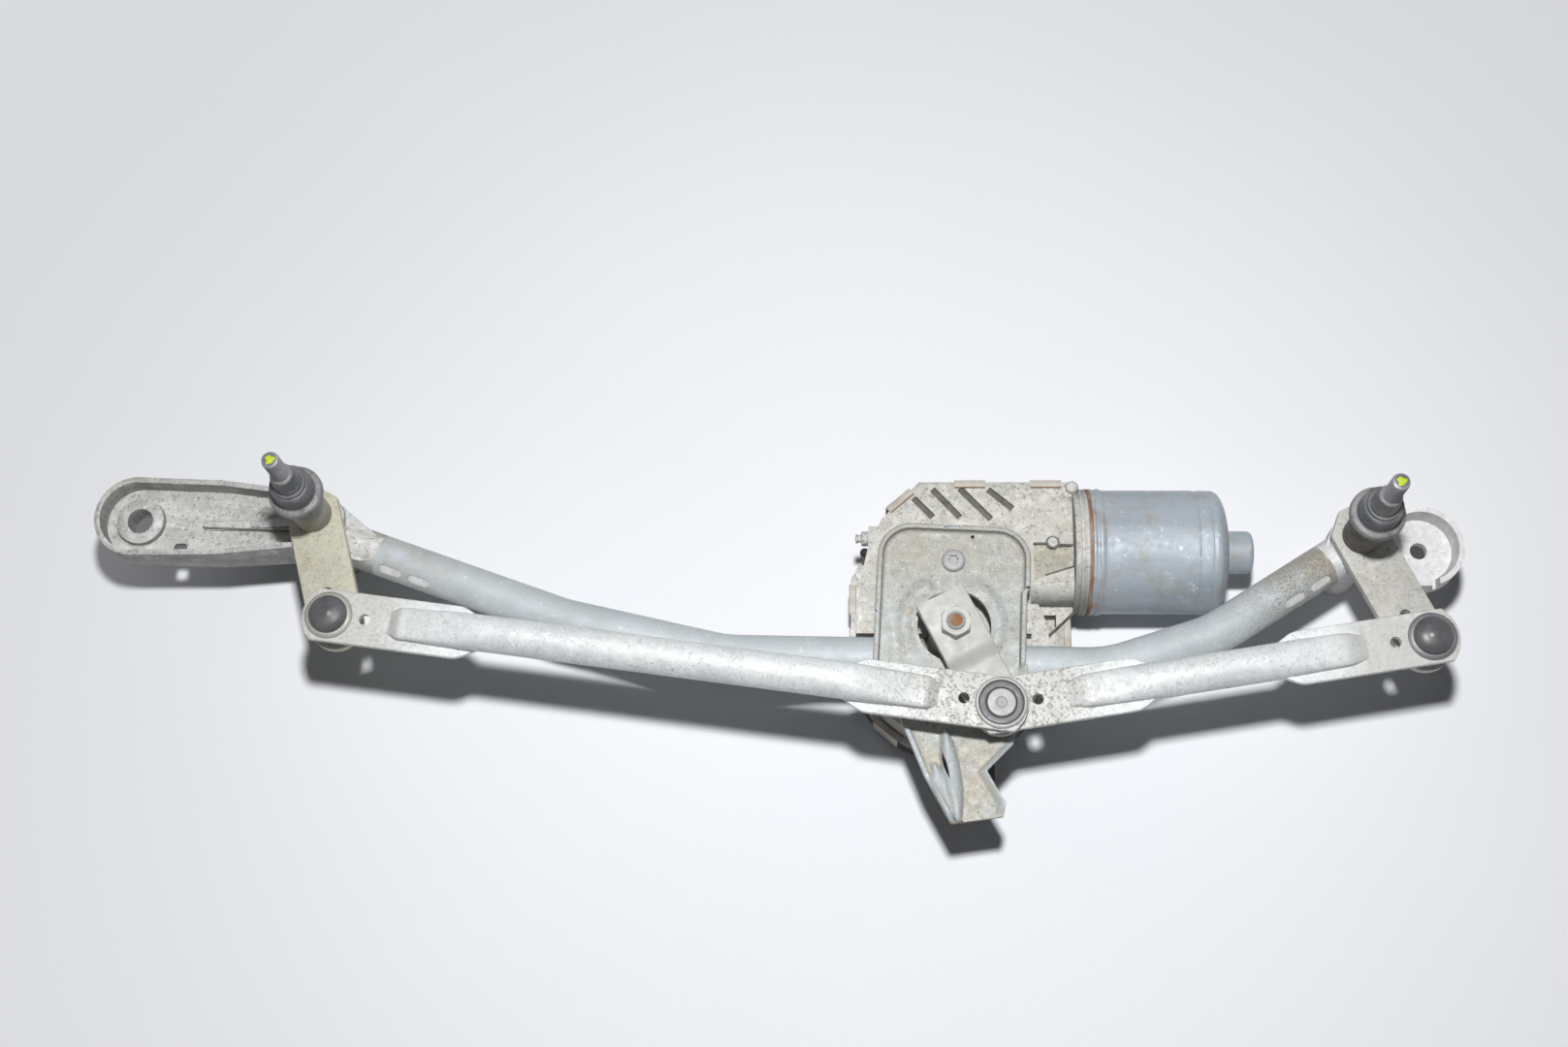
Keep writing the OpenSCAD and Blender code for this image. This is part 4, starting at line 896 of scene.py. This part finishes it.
HOUSING_TOP = 46.1
RIB_START, RIB_RUN, RIB_HALF, RIB_BASE = (-318, 55), 43, 1.5, 2.9
GROOVES = (
    ((-18.2, 70.8), (-9, 61)), ((-9.1, 75.3), (4, 61)), ((4, 75.8), (19, 60)), ((17.8, 75.2), (29.4, 65.4)))
POCKET = np.array(((39.2, 47.6), (57.2, 47.2), (57.2, 36.2), (39.2, 29.9)))
POCKET_LINES = (
    ((39.0, 47.9), (45.2, 47.9)), ((51.2, 46.9), (58.9, 47.0)), ((58.7, 47.2), (58.2, 36.0)),
    ((44.5, 32.0), (58.0, 36.3)))
PIN_AT, BOSS_AT, RUST_AT = (48.2, 48.3), (58.2, 76.2), (59.6, 65.4)
# Clips over the housing's top and clips lower down: place, heading and height of the edge that they hold
TOP_CLIPS = (((-25.5, 70.25), 131.19, 45.9), ((9, 79), 90, HOUSING_TOP), ((45.6, 79), 90, HOUSING_TOP))
LOW_CLIPS = ((polar((0, 0), 49, 230), 230, 16.4), ((-48.6, 26.2), 180, 24.1))
LAST_CLIP = ((57, 9), 0, 24.1)


def clip_shell(at, degrees, top):
    """Spring clip: an L-shaped section, up the outside and in over the edge, carried 15 mm across."""
    corners = ((0.02, 4), (0.8, 4), (0.8, top + 0.6), (-2.6, top + 0.6), (-2.6, top), (0.02, top))
    section = eased(corners, 0.35, 4, True)
    d = polar((0, 0), 1, degrees)
    across = np.array((-7.5, 7.5))[:, None]
    x = at[0] + section[:, 0] * d[0] - across * d[1]
    y = at[1] + section[:, 0] * d[1] + across * d[0]
    return np.stack((x, y, section[:, 1] + np.zeros_like(x)), -1), False


def clip_lip(at, degrees, top):
    """Dark inner lip of a clip: a bar along the clip's inner edge."""
    edge = polar(at, -2.6, degrees)
    ends = [polar(edge, reach, degrees + 90) for reach in (-7.4, 7.4)]
    return line_bar(*ends, 0.55, top - 0.5, top + 0.45)


class WIPER_OT_castings(Builder):
    """Die-cast brackets and housing, the cover and its clips, with softened edges"""

    bl_idname = "wiper.castings"
    bl_label = "Castings"

    def build(self, p):
        dish = softened("left_casting", "left_bracket", p.edge * 1.3, "bracket")
        cut_out(dish, [block((-373.6, 44.2), (6.4, 4.8), 30, 58, 1.6)], CAST_SHARP)
        tip, wide = round_end(RIB_RUN, RIB_HALF)
        s = np.concatenate((np.linspace(0, RIB_RUN - 0.5, 4), tip))
        w = np.concatenate((np.linspace(RIB_BASE, RIB_HALF, 4), wide))
        add("dish_rib", [bar(RIB_START, 180, s, w, 50.9, 5.0)], "frame", "bracket")
        softened("right_casting", "right_bracket", p.edge * 1.3, "cup")
        softened("housing_casting", "gear_housing", p.edge, "cast")
        softened("cover_moulding", "gear_cover", p.edge, "cover")
        # Painted shade: dark bars laid in the housing's grooves stand for the shade in those recesses.
        grooves = [line_bar(a, b, 1.5, 43.2, 45.4, 0.2, 0.1) for a, b in GROOVES]
        add("groove_dirt", grooves, "frame", "groove")
        # A darker, browner sheet laid on the pocket's floor.
        add("pocket_floor", [prism(POCKET, 44.2, 44.62)], "frame", "pocket")
        # Painted shade: dark lines along the pocket's edges and a dark ring round its pin.
        marks = [line_bar(a, b, 0.5, 45.4, HOUSING_TOP) for a, b in POCKET_LINES]
        marks.append(turned(PIN_AT, ((0, 45.4), (3.3, 45.4), (3.3, 46.12), (0, 46.12)), 36))
        add("pocket_outline", marks, "frame", "groove")
        spot = turned(RUST_AT, eased(((0, 45.6), (1.0, 45.6), (0.8, 46.14), (0, 46.18)), 0.2), 24)
        add("rust_spot", [spot], "frame", "rust")
        pin = turned(PIN_AT, eased(((0, 45.5), (2.6, 45.5), (2.6, 46.9), (2.0, 47.3), (0, 47.3)), 0.3), 36)
        boss = turned(BOSS_AT, eased(((0, 40), (3.4, 40), (3.2, 46.6), (2.2, 47.6), (0, 47.7)), 0.8), 36)
        add("housing_bosses", [pin, boss], "frame", "bracket")
        add("clip_lips", [clip_lip(*row) for row in TOP_CLIPS], "frame", "lip")
        clips = [clip_shell(*row) for row in (*LOW_CLIPS, *TOP_CLIPS, LAST_CLIP)]
        add("clip_set", clips, "frame", "clip", "cover_clips")


# Motor

CAN_R, DOME_START, BOSS_EDGE = 30.0, 125, 11.85
CAN_FRONT = (
    (27.6, 66), (30.8, 66), (30.8, 67.4), (30.35, 68.0), (30.35, 69.0), (30.8, 69.6), (30.8, 71),
    (CAN_R, 72.2), (CAN_R, 116), (29.7, 116.6), (29.7, 117.6), (CAN_R, 118.2), (CAN_R, 122.4),
    (29.8, 122.8), (29.8, 123.4), (CAN_R, 123.8))
CAN_BOSS = ((10.35, 132), (10.35, 143.4), (9.0, 145), (0.0, 145), (0.0, 143), (8.15, 143), (8.15, 129.6))
BEADS = (
    (30.3, 60.4), (30.75, 60.9), (30.75, 62.1), (30.4, 62.5), (30.4, 62.9), (30.75, 63.3), (30.75, 64.2),
    (30.3, 64.7), (29.8, 62.5))
STUB_AT, BALL_AT, BALL_R = (0, 52, 40), (0, 45.4, 38.5), 2.3
STUB = (
    (0, -40.2), (3.6, -40.2), (3.6, -43.4), (1.8, -43.6), (1.8, -44.9), (2.2, -45.2), (2.2, -46.2),
    (0, -46.4))


class WIPER_OT_motor(Builder):
    """Motor can with its end boss, and the breather stub"""

    bl_idname = "wiper.motor"
    bl_label = "Motor"

    def build(self, p):
        v = np.radians(np.arange(0, 91, 15))
        dome, inner = [
            np.stack((BOSS_EDGE + wide * np.cos(v), DOME_START + tall * np.sin(v)), -1)
            for wide, tall in ((18.15, 7.0), (15.75, 4.6))]
        profile = eased(np.concatenate((CAN_FRONT, dome, CAN_BOSS, inner[::-1])), 1.2, 4)
        dents = lambda r, h, t: -0.12 * (r > 29) * np.sin(3 * t + h / 9) * np.sin(2 * t - h / 13)
        can = turned(MOTOR, profile, 96, True, True, dents)
        add("motor_shell", [can], "frame", "can", "motor_can")
        beads = turned(MOTOR, eased(BEADS, 0.3, closed=True), 96, True, True)
        add("flange_beads", [beads], "frame", "bracket")
        stub = turned(STUB_AT, eased(STUB, 0.5), 32, False, True)
        add("breather_stub", [stub], "frame", "bracket", "breather")
        a = np.linspace(0, math.pi, 14)
        profile = np.stack((BALL_R * np.sin(a), -41.8 - BALL_R * np.cos(a)), -1)
        ball = turned(BALL_AT, profile, 24, False, True)
        add("breather_ball", [ball], "frame", "rubber")


# Crank

THREAD_R, THREAD_DEPTH, THREAD_STEP = 3.75, 0.7, 0.12
NUT_HALF, CRANK_HALF = 6.5, 12.2
SHAFT = (
    (0, 24.5), (6, 24.5), (6, 59.4), (5.2, 59.4), (5.2, 60.7), (6, 60.7), (6, 67), (4.8, 68), (4.8, 71.5))


def thread(low, high, pitch):
    """Helical ripple: a triangle wave of height over the pitch, fading in and out at both ends."""
    def ripple(r, h, t):
        wave = np.abs((h / pitch - t / FULL_TURN) % 1 * 2 - 1) - 0.5
        return THREAD_DEPTH * wave * ease(h, low, low + 0.6) * (1 - ease(h, high - 0.8, high))
    return ripple


class WIPER_OT_crank(Builder):
    """Crank arm bent down to the pivot, its nut, and the output shaft's threaded end"""

    bl_idname = "wiper.crank"
    bl_label = "Crank"

    def build(self, p):
        tip, wide = round_end(CRANK_REACH, CRANK_HALF)
        s = np.concatenate(((-16, -15.6), np.linspace(-14, 43, 58), tip))
        w = np.concatenate(((11.8, CRANK_HALF), np.full(58, CRANK_HALF), wide))
        z = HUB_LOW + CRANK_T / 2 - (HUB_LOW - CRANK_LOW) * ease(s, 12.2, 21.5)
        plate = bar((0, 0), CRANK_HEAD, s, w, z, CRANK_T, 0.7)
        arm = add("crank_plate", [plate], "drive", "crank", "crank_arm", 50)
        cut_out(arm, [post((0, 0), 4.9, 60, 80), post(MIDDLE, 5.05, 60, 80)], 50)
        t = angles(72)
        flat = NUT_HALF / np.cos((t + math.pi / 6) % (math.pi / 3) - math.pi / 6)
        within = lambda r: np.minimum(flat, r)
        rows = [(4.05, 0.0), (within(6.9), 0.0), (within(7.2), 0.25), (flat, 0.7), (flat, 5.7)]
        rows += [(within(7.15), 6.1), (within(6.6), 6.5), (4.6, 6.5), (4.05, 6.1)]
        nut = stacked((0, 0), rows, 72, HUB_TOP), True
        add("hex_nut", [nut], "drive", "crank", "crank_nut", 30)
        low, high = HUB_TOP - 0.4, HUB_TOP + 8
        screw = [(THREAD_R, h) for h in np.arange(low, high - 0.5, THREAD_STEP)]
        end = [(3.2, high), (0.9, high), (0.6, high - 0.5), (0, high - 0.5)]
        shaft = turned((0, 0), [*SHAFT, *screw, *end], 48, ripple=thread(low, high, p.pitch / MM))
        add("drive_shaft", [shaft], "drive", "steel", "output_shaft", 35)
        cap = eased(((0, high - 0.6), (3.45, high - 0.6), (3.3, high + 0.02), (0, high + 0.08)), 0.3)
        add("shaft_end_rust", [turned((0, 0), cap, 36)], "drive", "rust")


# Push rods

TIP_R, FLAT_HALF, TIP_BACK = 17, 12.5, 4.5
RISE_START, ROD_FULL = 27, 80
PRESS_HOLE_AT, PRESS_HOLE_R = 17, 2.6


def rod_shells(p, q, flat_low, lift, boxy):
    """A pressed rod: two flat ends, each a bar with a bowed tip and a flange that runs out, and a tube whose
    section |y/W|^n + |z/H|^n = 1 grows from a soft rise on each flat to a full round. A tip is an arc about
    a centre behind the pivot."""
    run, head = np.linalg.norm(np.array(q) - np.array(p)), heading(p, q)
    mid = flat_low + FLAT_T / 2
    a = np.linspace(0.02, math.asin(FLAT_HALF / TIP_R), 16)
    body = np.linspace(-6, 77, 64)
    s = np.concatenate((TIP_BACK - TIP_R * np.cos(a), body))
    w = np.concatenate((TIP_R * np.sin(a), FLAT_HALF - 6.4 * ease(body, 60, 76)))
    shells = [bar(start, turn, s, w, mid, FLAT_T, 0.7) for start, turn in ((p, head), (q, head + 180))]
    u = np.concatenate((np.linspace(RISE_START, 40, 18), np.linspace(41, ROD_FULL, 26)))
    s = np.concatenate((u, np.linspace(82, run - 82, 20), run - u[::-1]))
    near = np.minimum(s, run - s)
    rise = ease(near, RISE_START, 44 - 9 * boxy)
    full, under = ease(near, 34, ROD_FULL), ease(near, 42, ROD_FULL)
    half = 5.4 + 2.3 * rise + 0.8 * full
    top = 1.1 + 4.2 * rise + (lift + 3.2) * full
    low = -1.3 + (lift - 7.2) * under
    tall, height = (top - low) / 2, (top + low) / 2
    n = 2 + (1 + 2 * boxy) * (1 - full)
    t = angles(48)
    c, e = np.cos(t), np.sin(t)
    y = half[:, None] * np.sign(c) * np.abs(c) ** (2 / n[:, None])
    z = mid + height[:, None] + tall[:, None] * np.sign(e) * np.abs(e) ** (2 / n[:, None])
    return [*shells, along(p, head, s, y, z)]


class WIPER_OT_push_rods(Builder):
    """Both push rods, pressed flat at their ends"""

    bl_idname = "wiper.push_rods"
    bl_label = "Push rods"

    def build(self, p):
        for side in SIDES:
            name, end = side.name + "_rod", ball_of(side)
            shells = rod_shells(MIDDLE, end, side.flat, side.lift, side.boxy)
            rod = add("pressed_" + name, shells, side.name + "_link", name, name, 50)
            d = PRESS_HOLE_AT * (end - MIDDLE) / np.linalg.norm(end - MIDDLE)
            holes = ((MIDDLE, 10.23), (end, 8.2), (MIDDLE + d, PRESS_HOLE_R), (end - d, PRESS_HOLE_R))
            cut_out(rod, [post(at, r, side.flat - 5, side.flat + 8, 40) for at, r in holes], 50)


# Pivots


def lifted(base, rows):
    """A profile with a base added to its heights."""
    return [(r, base + h) for r, h in rows]


class WIPER_OT_pivots(Builder):
    """The middle pivot's ring, socket and stud, and the caps over the two outer balls"""

    bl_idname = "wiper.pivots"
    bl_label = "Pivots"

    def build(self, p):
        rows = lifted(LEFT.flat + FLAT_T, ((10.25, 0), (12, 0), (12, 0.9), (11.2, 1.5), (10.25, 1.5)))
        add("pivot_ring", [ring_of(MIDDLE, rows, 0.5)], "left_link", "ring", "middle_ring")
        foot, top = LEFT.flat - 0.4, PIVOT_TOP - 0.2
        rows = ((6.55, foot), (10.2, foot), (10.2, top - 0.2), (9.4, top), (7.2, top), (6.55, top - 0.5))
        socket = ring_of(MIDDLE, rows, 0.4)
        add("pivot_socket", [socket], "left_link", "black", "middle_upper_socket")
        rows = [(0, CRANK_LOW), (5, CRANK_LOW), (5, 68.4), (9, 68.5), (9, 70.3), (6.5, 70.3)]
        tip = ((6.5, -0.3), (6.1, 0), (2.7, 0), (2.2, -0.5), (1.0, -0.9), (0.4, -0.4), (0, -0.4))
        stud = turned(MIDDLE, eased(rows + lifted(PIVOT_TOP, tip), 0.25))
        add("pivot_stud", [stud], "drive", "steel", "crank_stud")
        for side in SIDES:
            at, body, base = ball_of(side), side.name + "_arm", side.flat + FLAT_T
            rows = lifted(base, ((5.83, 0.3), (11.2, 0.3), (11.2, 0.7), (9.7, 1.6), (5.83, 1.6)))
            name = side.name + "_ring"
            add(side.name + "_cap_ring", [ring_of(at, rows, 0.4)], body, name, name)
            dome = base + 1.5
            cap = lifted(side.lever_top, ((0, 11.4), (3.5, 10.2), (5.4, 7), (4.0, 3), (8.6, 3), (9.2, 4)))
            cap += [(9.2, side.flat - 0.3), (5.8, side.flat - 0.3), (5.8, dome), (8.8, dome)]
            v = np.radians(np.arange(2, 80, 6))
            cap += zip(9.0 * np.cos(v) ** 0.85, dome + 0.5 + 4.2 * np.sin(v))
            cap += lifted(dome, ((2.0, 4.75), (1.6, 4.95), (1.1, 5.0), (0, 5.0)))
            shell = turned(at, cap)
            add(side.name + "_ball_cap", [shell], body, "black", side.name + "_socket", 38)


# Levers and spindles

LEVER_HALF, SPINDLE_R = 12.6, 6.03
SHANK = ((0, 3), (5.5, 3), (6, 3.5), (6, 5.4), (5.2, 5.4), (5.2, 6.8), (6, 6.8))
COLLAR = (
    (SPINDLE_R, 29), (11.6, 29), (12.7, 30), (12.7, 32.4), (12.0, 33.6), (10.2, 33.8), (9.6, 34.4),
    (9.4, 36), (9.4, 43), (8.7, 44), (8.0, 44.1), (7.8, 44.6), (7.7, 45.4), (7.2, 45.6), (SPINDLE_R, 45.6))
KNURL_DEPTH, CONE_SLOPE = 0.8, 0.098
# Share of the paint mark's outline, and height
PAINT = ((0.05, -0.5), (0.95, -0.5), (1.0, -0.15), (0.85, -0.02), (0.05, 0.0))


class WIPER_OT_levers(Builder):
    """Both levers, plates with a clipped end and a round end"""

    bl_idname = "wiper.levers"
    bl_label = "Levers"

    def build(self, p):
        for side in SIDES:
            tip, wide = round_end(side.reach, LEVER_HALF)
            s = np.concatenate(((-15, -14.6, -6, -5), np.linspace(-3, side.reach - 1, 12), tip))
            w = np.concatenate(((3.0, 3.6, 12.4, LEVER_HALF), np.full(12, LEVER_HALF), wide))
            plate = bar(side.axis, side.head, s, w, side.lever_top - LEVER_T / 2, LEVER_T, 0.5)
            name = side.name + "_lever"
            lever = add(name + "_plate", [plate], side.name + "_arm", name, name)
            hole = polar(polar(side.axis, side.reach - 16, side.head), -1, side.head + 90)
            cut_out(lever, [
                post(side.axis, SPINDLE_R, 50, 80, 48), post(ball_of(side), 3.43, 50, 80),
                post(hole, 2.6, 50, 80)], 40)


def spindle_ripple(top, low, high, pitch, teeth):
    """Ripple of a spindle: a triangle wave round its cone for the knurl, and the thread above."""
    twist = thread(low, high, pitch)

    def ripple(r, h, t):
        knurl = KNURL_DEPTH * (np.abs((t * teeth / FULL_TURN) % 1 * 2 - 1) - 0.5)
        cone = ease(h, top + 46.8, top + 47.6) * (1 - ease(h, top + 55.8, top + 56.8))
        return twist(r, h, t) * (h > low) + knurl * cone
    return ripple


class WIPER_OT_spindles(Builder):
    """Both spindles with knurled cones and threads, their necks, collars and paint marks"""

    bl_idname = "wiper.spindles"
    bl_label = "Spindles"

    def build(self, p):
        for side in SIDES:
            name, body, at, top = side.name, side.name + "_arm", side.axis, side.lever_top
            tip = top + 76
            low, high = top + 57.8, tip - 0.5
            cone = [(6.1 - (h - top - 47) * CONE_SLOPE, h) for h in np.arange(top + 47, top + 56.8, 0.4)]
            screw = [(THREAD_R, h) for h in np.arange(low, high, THREAD_STEP)]
            profile = [*SHANK, *lifted(top, ((6, 46.2), (6.25, 46.6))), *cone]
            profile += [*lifted(top, ((4.6, 57.1), (THREAD_R, 57.5))), *screw]
            profile += lifted(tip, ((3.2, -0.3), (0, -0.3)))
            ripple = spindle_ripple(top, low, high, p.pitch / MM, p.teeth)
            spin = turned(at, profile, 4 * p.teeth, ripple=ripple)
            add(name + "_spindle_turned", [spin], body, "knurl", name + "_spindle", 45)
            neck = ring_of(at, lifted(top, ((SPINDLE_R, 0), (9, 0), (9, 29), (SPINDLE_R, 29))), 0.4, 64)
            add(name + "_neck_sleeve", [neck], body, name + "_neck", name + "_neck")
            collar = ring_of(at, lifted(top, COLLAR), 0.5)
            node_name = name + "_collar"
            add(node_name + "_turned", [collar], body, node_name, node_name, 45)
            t = angles(40)
            blob = 2.0 + 0.35 * np.sin(3 * t + 1) + 0.25 * np.sin(5 * t)
            rows = [(f * blob, z) for f, z in PAINT]
            add(name + "_paint_mark", [(stacked(at, rows, 40, tip), False)], body, "paint")
            face = lifted(tip, ((0, -0.5), (3.0, -0.5), (3.0, -0.25), (2.6, -0.18), (0, -0.18)))
            add(name + "_spindle_face", [turned(at, eased(face, 0.1), 36)], body, "circlip")


# Pieces that stay as their solids, by finish
KEPT = {
    "rubber": ("cover_seal",), "board": ("control_board",), "brass": ("connector_pins",),
    "rust": ("can_seal",),
    "bronze": ("output_bush", "front_bearing", "rear_bearing", "left_bushes", "right_bushes"),
    "ferrite": ("magnets", "brushes"), "cover": ("brush_holder",), "gear": ("worm_wheel",),
    "steel": (
        "output_washer", "armature_shaft", "worm", "left_ball_stud", "right_ball_stud",
        "left_thrust_washer", "right_thrust_washer"),
    "circlip": ("output_circlip", "left_circlip", "right_circlip"), "sheet": ("armature_core",),
    "copper": ("windings", "commutator"), "black": ("middle_lower_socket",),
}


class WIPER_OT_inner_parts(Builder):
    """Finishes of the pieces that stay as their solids"""

    bl_idname = "wiper.inner_parts"
    bl_label = "Inner parts"

    def build(self, p):
        for finish, nodes in KEPT.items():
            for node in nodes:
                slots = NODES[node].data.materials
                slots.clear()
                slots.append(MADE[finish])


OPERATORS = (
    WIPER_OT_stage, WIPER_OT_frame_tubes, WIPER_OT_motor_plate, WIPER_OT_castings, WIPER_OT_motor,
    WIPER_OT_crank, WIPER_OT_push_rods, WIPER_OT_pivots, WIPER_OT_levers, WIPER_OT_spindles,
    WIPER_OT_inner_parts)


class WIPER_PT_looks(bpy.types.Panel):
    """Lists the settings and the building operators"""

    bl_idname = "WIPER_PT_looks"
    bl_label = "Wiper linkage"
    bl_space_type = "VIEW_3D"
    bl_region_type = "UI"
    bl_category = "Wiper linkage"

    def draw(self, context):
        for name in WiperLooks.__annotations__:
            self.layout.prop(context.scene.wiper_looks, name)
        for operator in OPERATORS:
            self.layout.operator(operator.bl_idname)


CLASSES = (WiperLooks, *OPERATORS, WIPER_PT_looks)


def register():
    for cls in CLASSES:
        bpy.utils.register_class(cls)
    bpy.types.Scene.wiper_looks = bpy.props.PointerProperty(type=WiperLooks)


def unregister():
    del bpy.types.Scene.wiper_looks
    for cls in reversed(CLASSES):
        bpy.utils.unregister_class(cls)


def main():
    """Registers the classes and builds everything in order."""
    register()
    for operator in OPERATORS:
        group, name = operator.bl_idname.split(".")
        getattr(getattr(bpy.ops, group), name)()


if __name__ == "__main__":
    main()
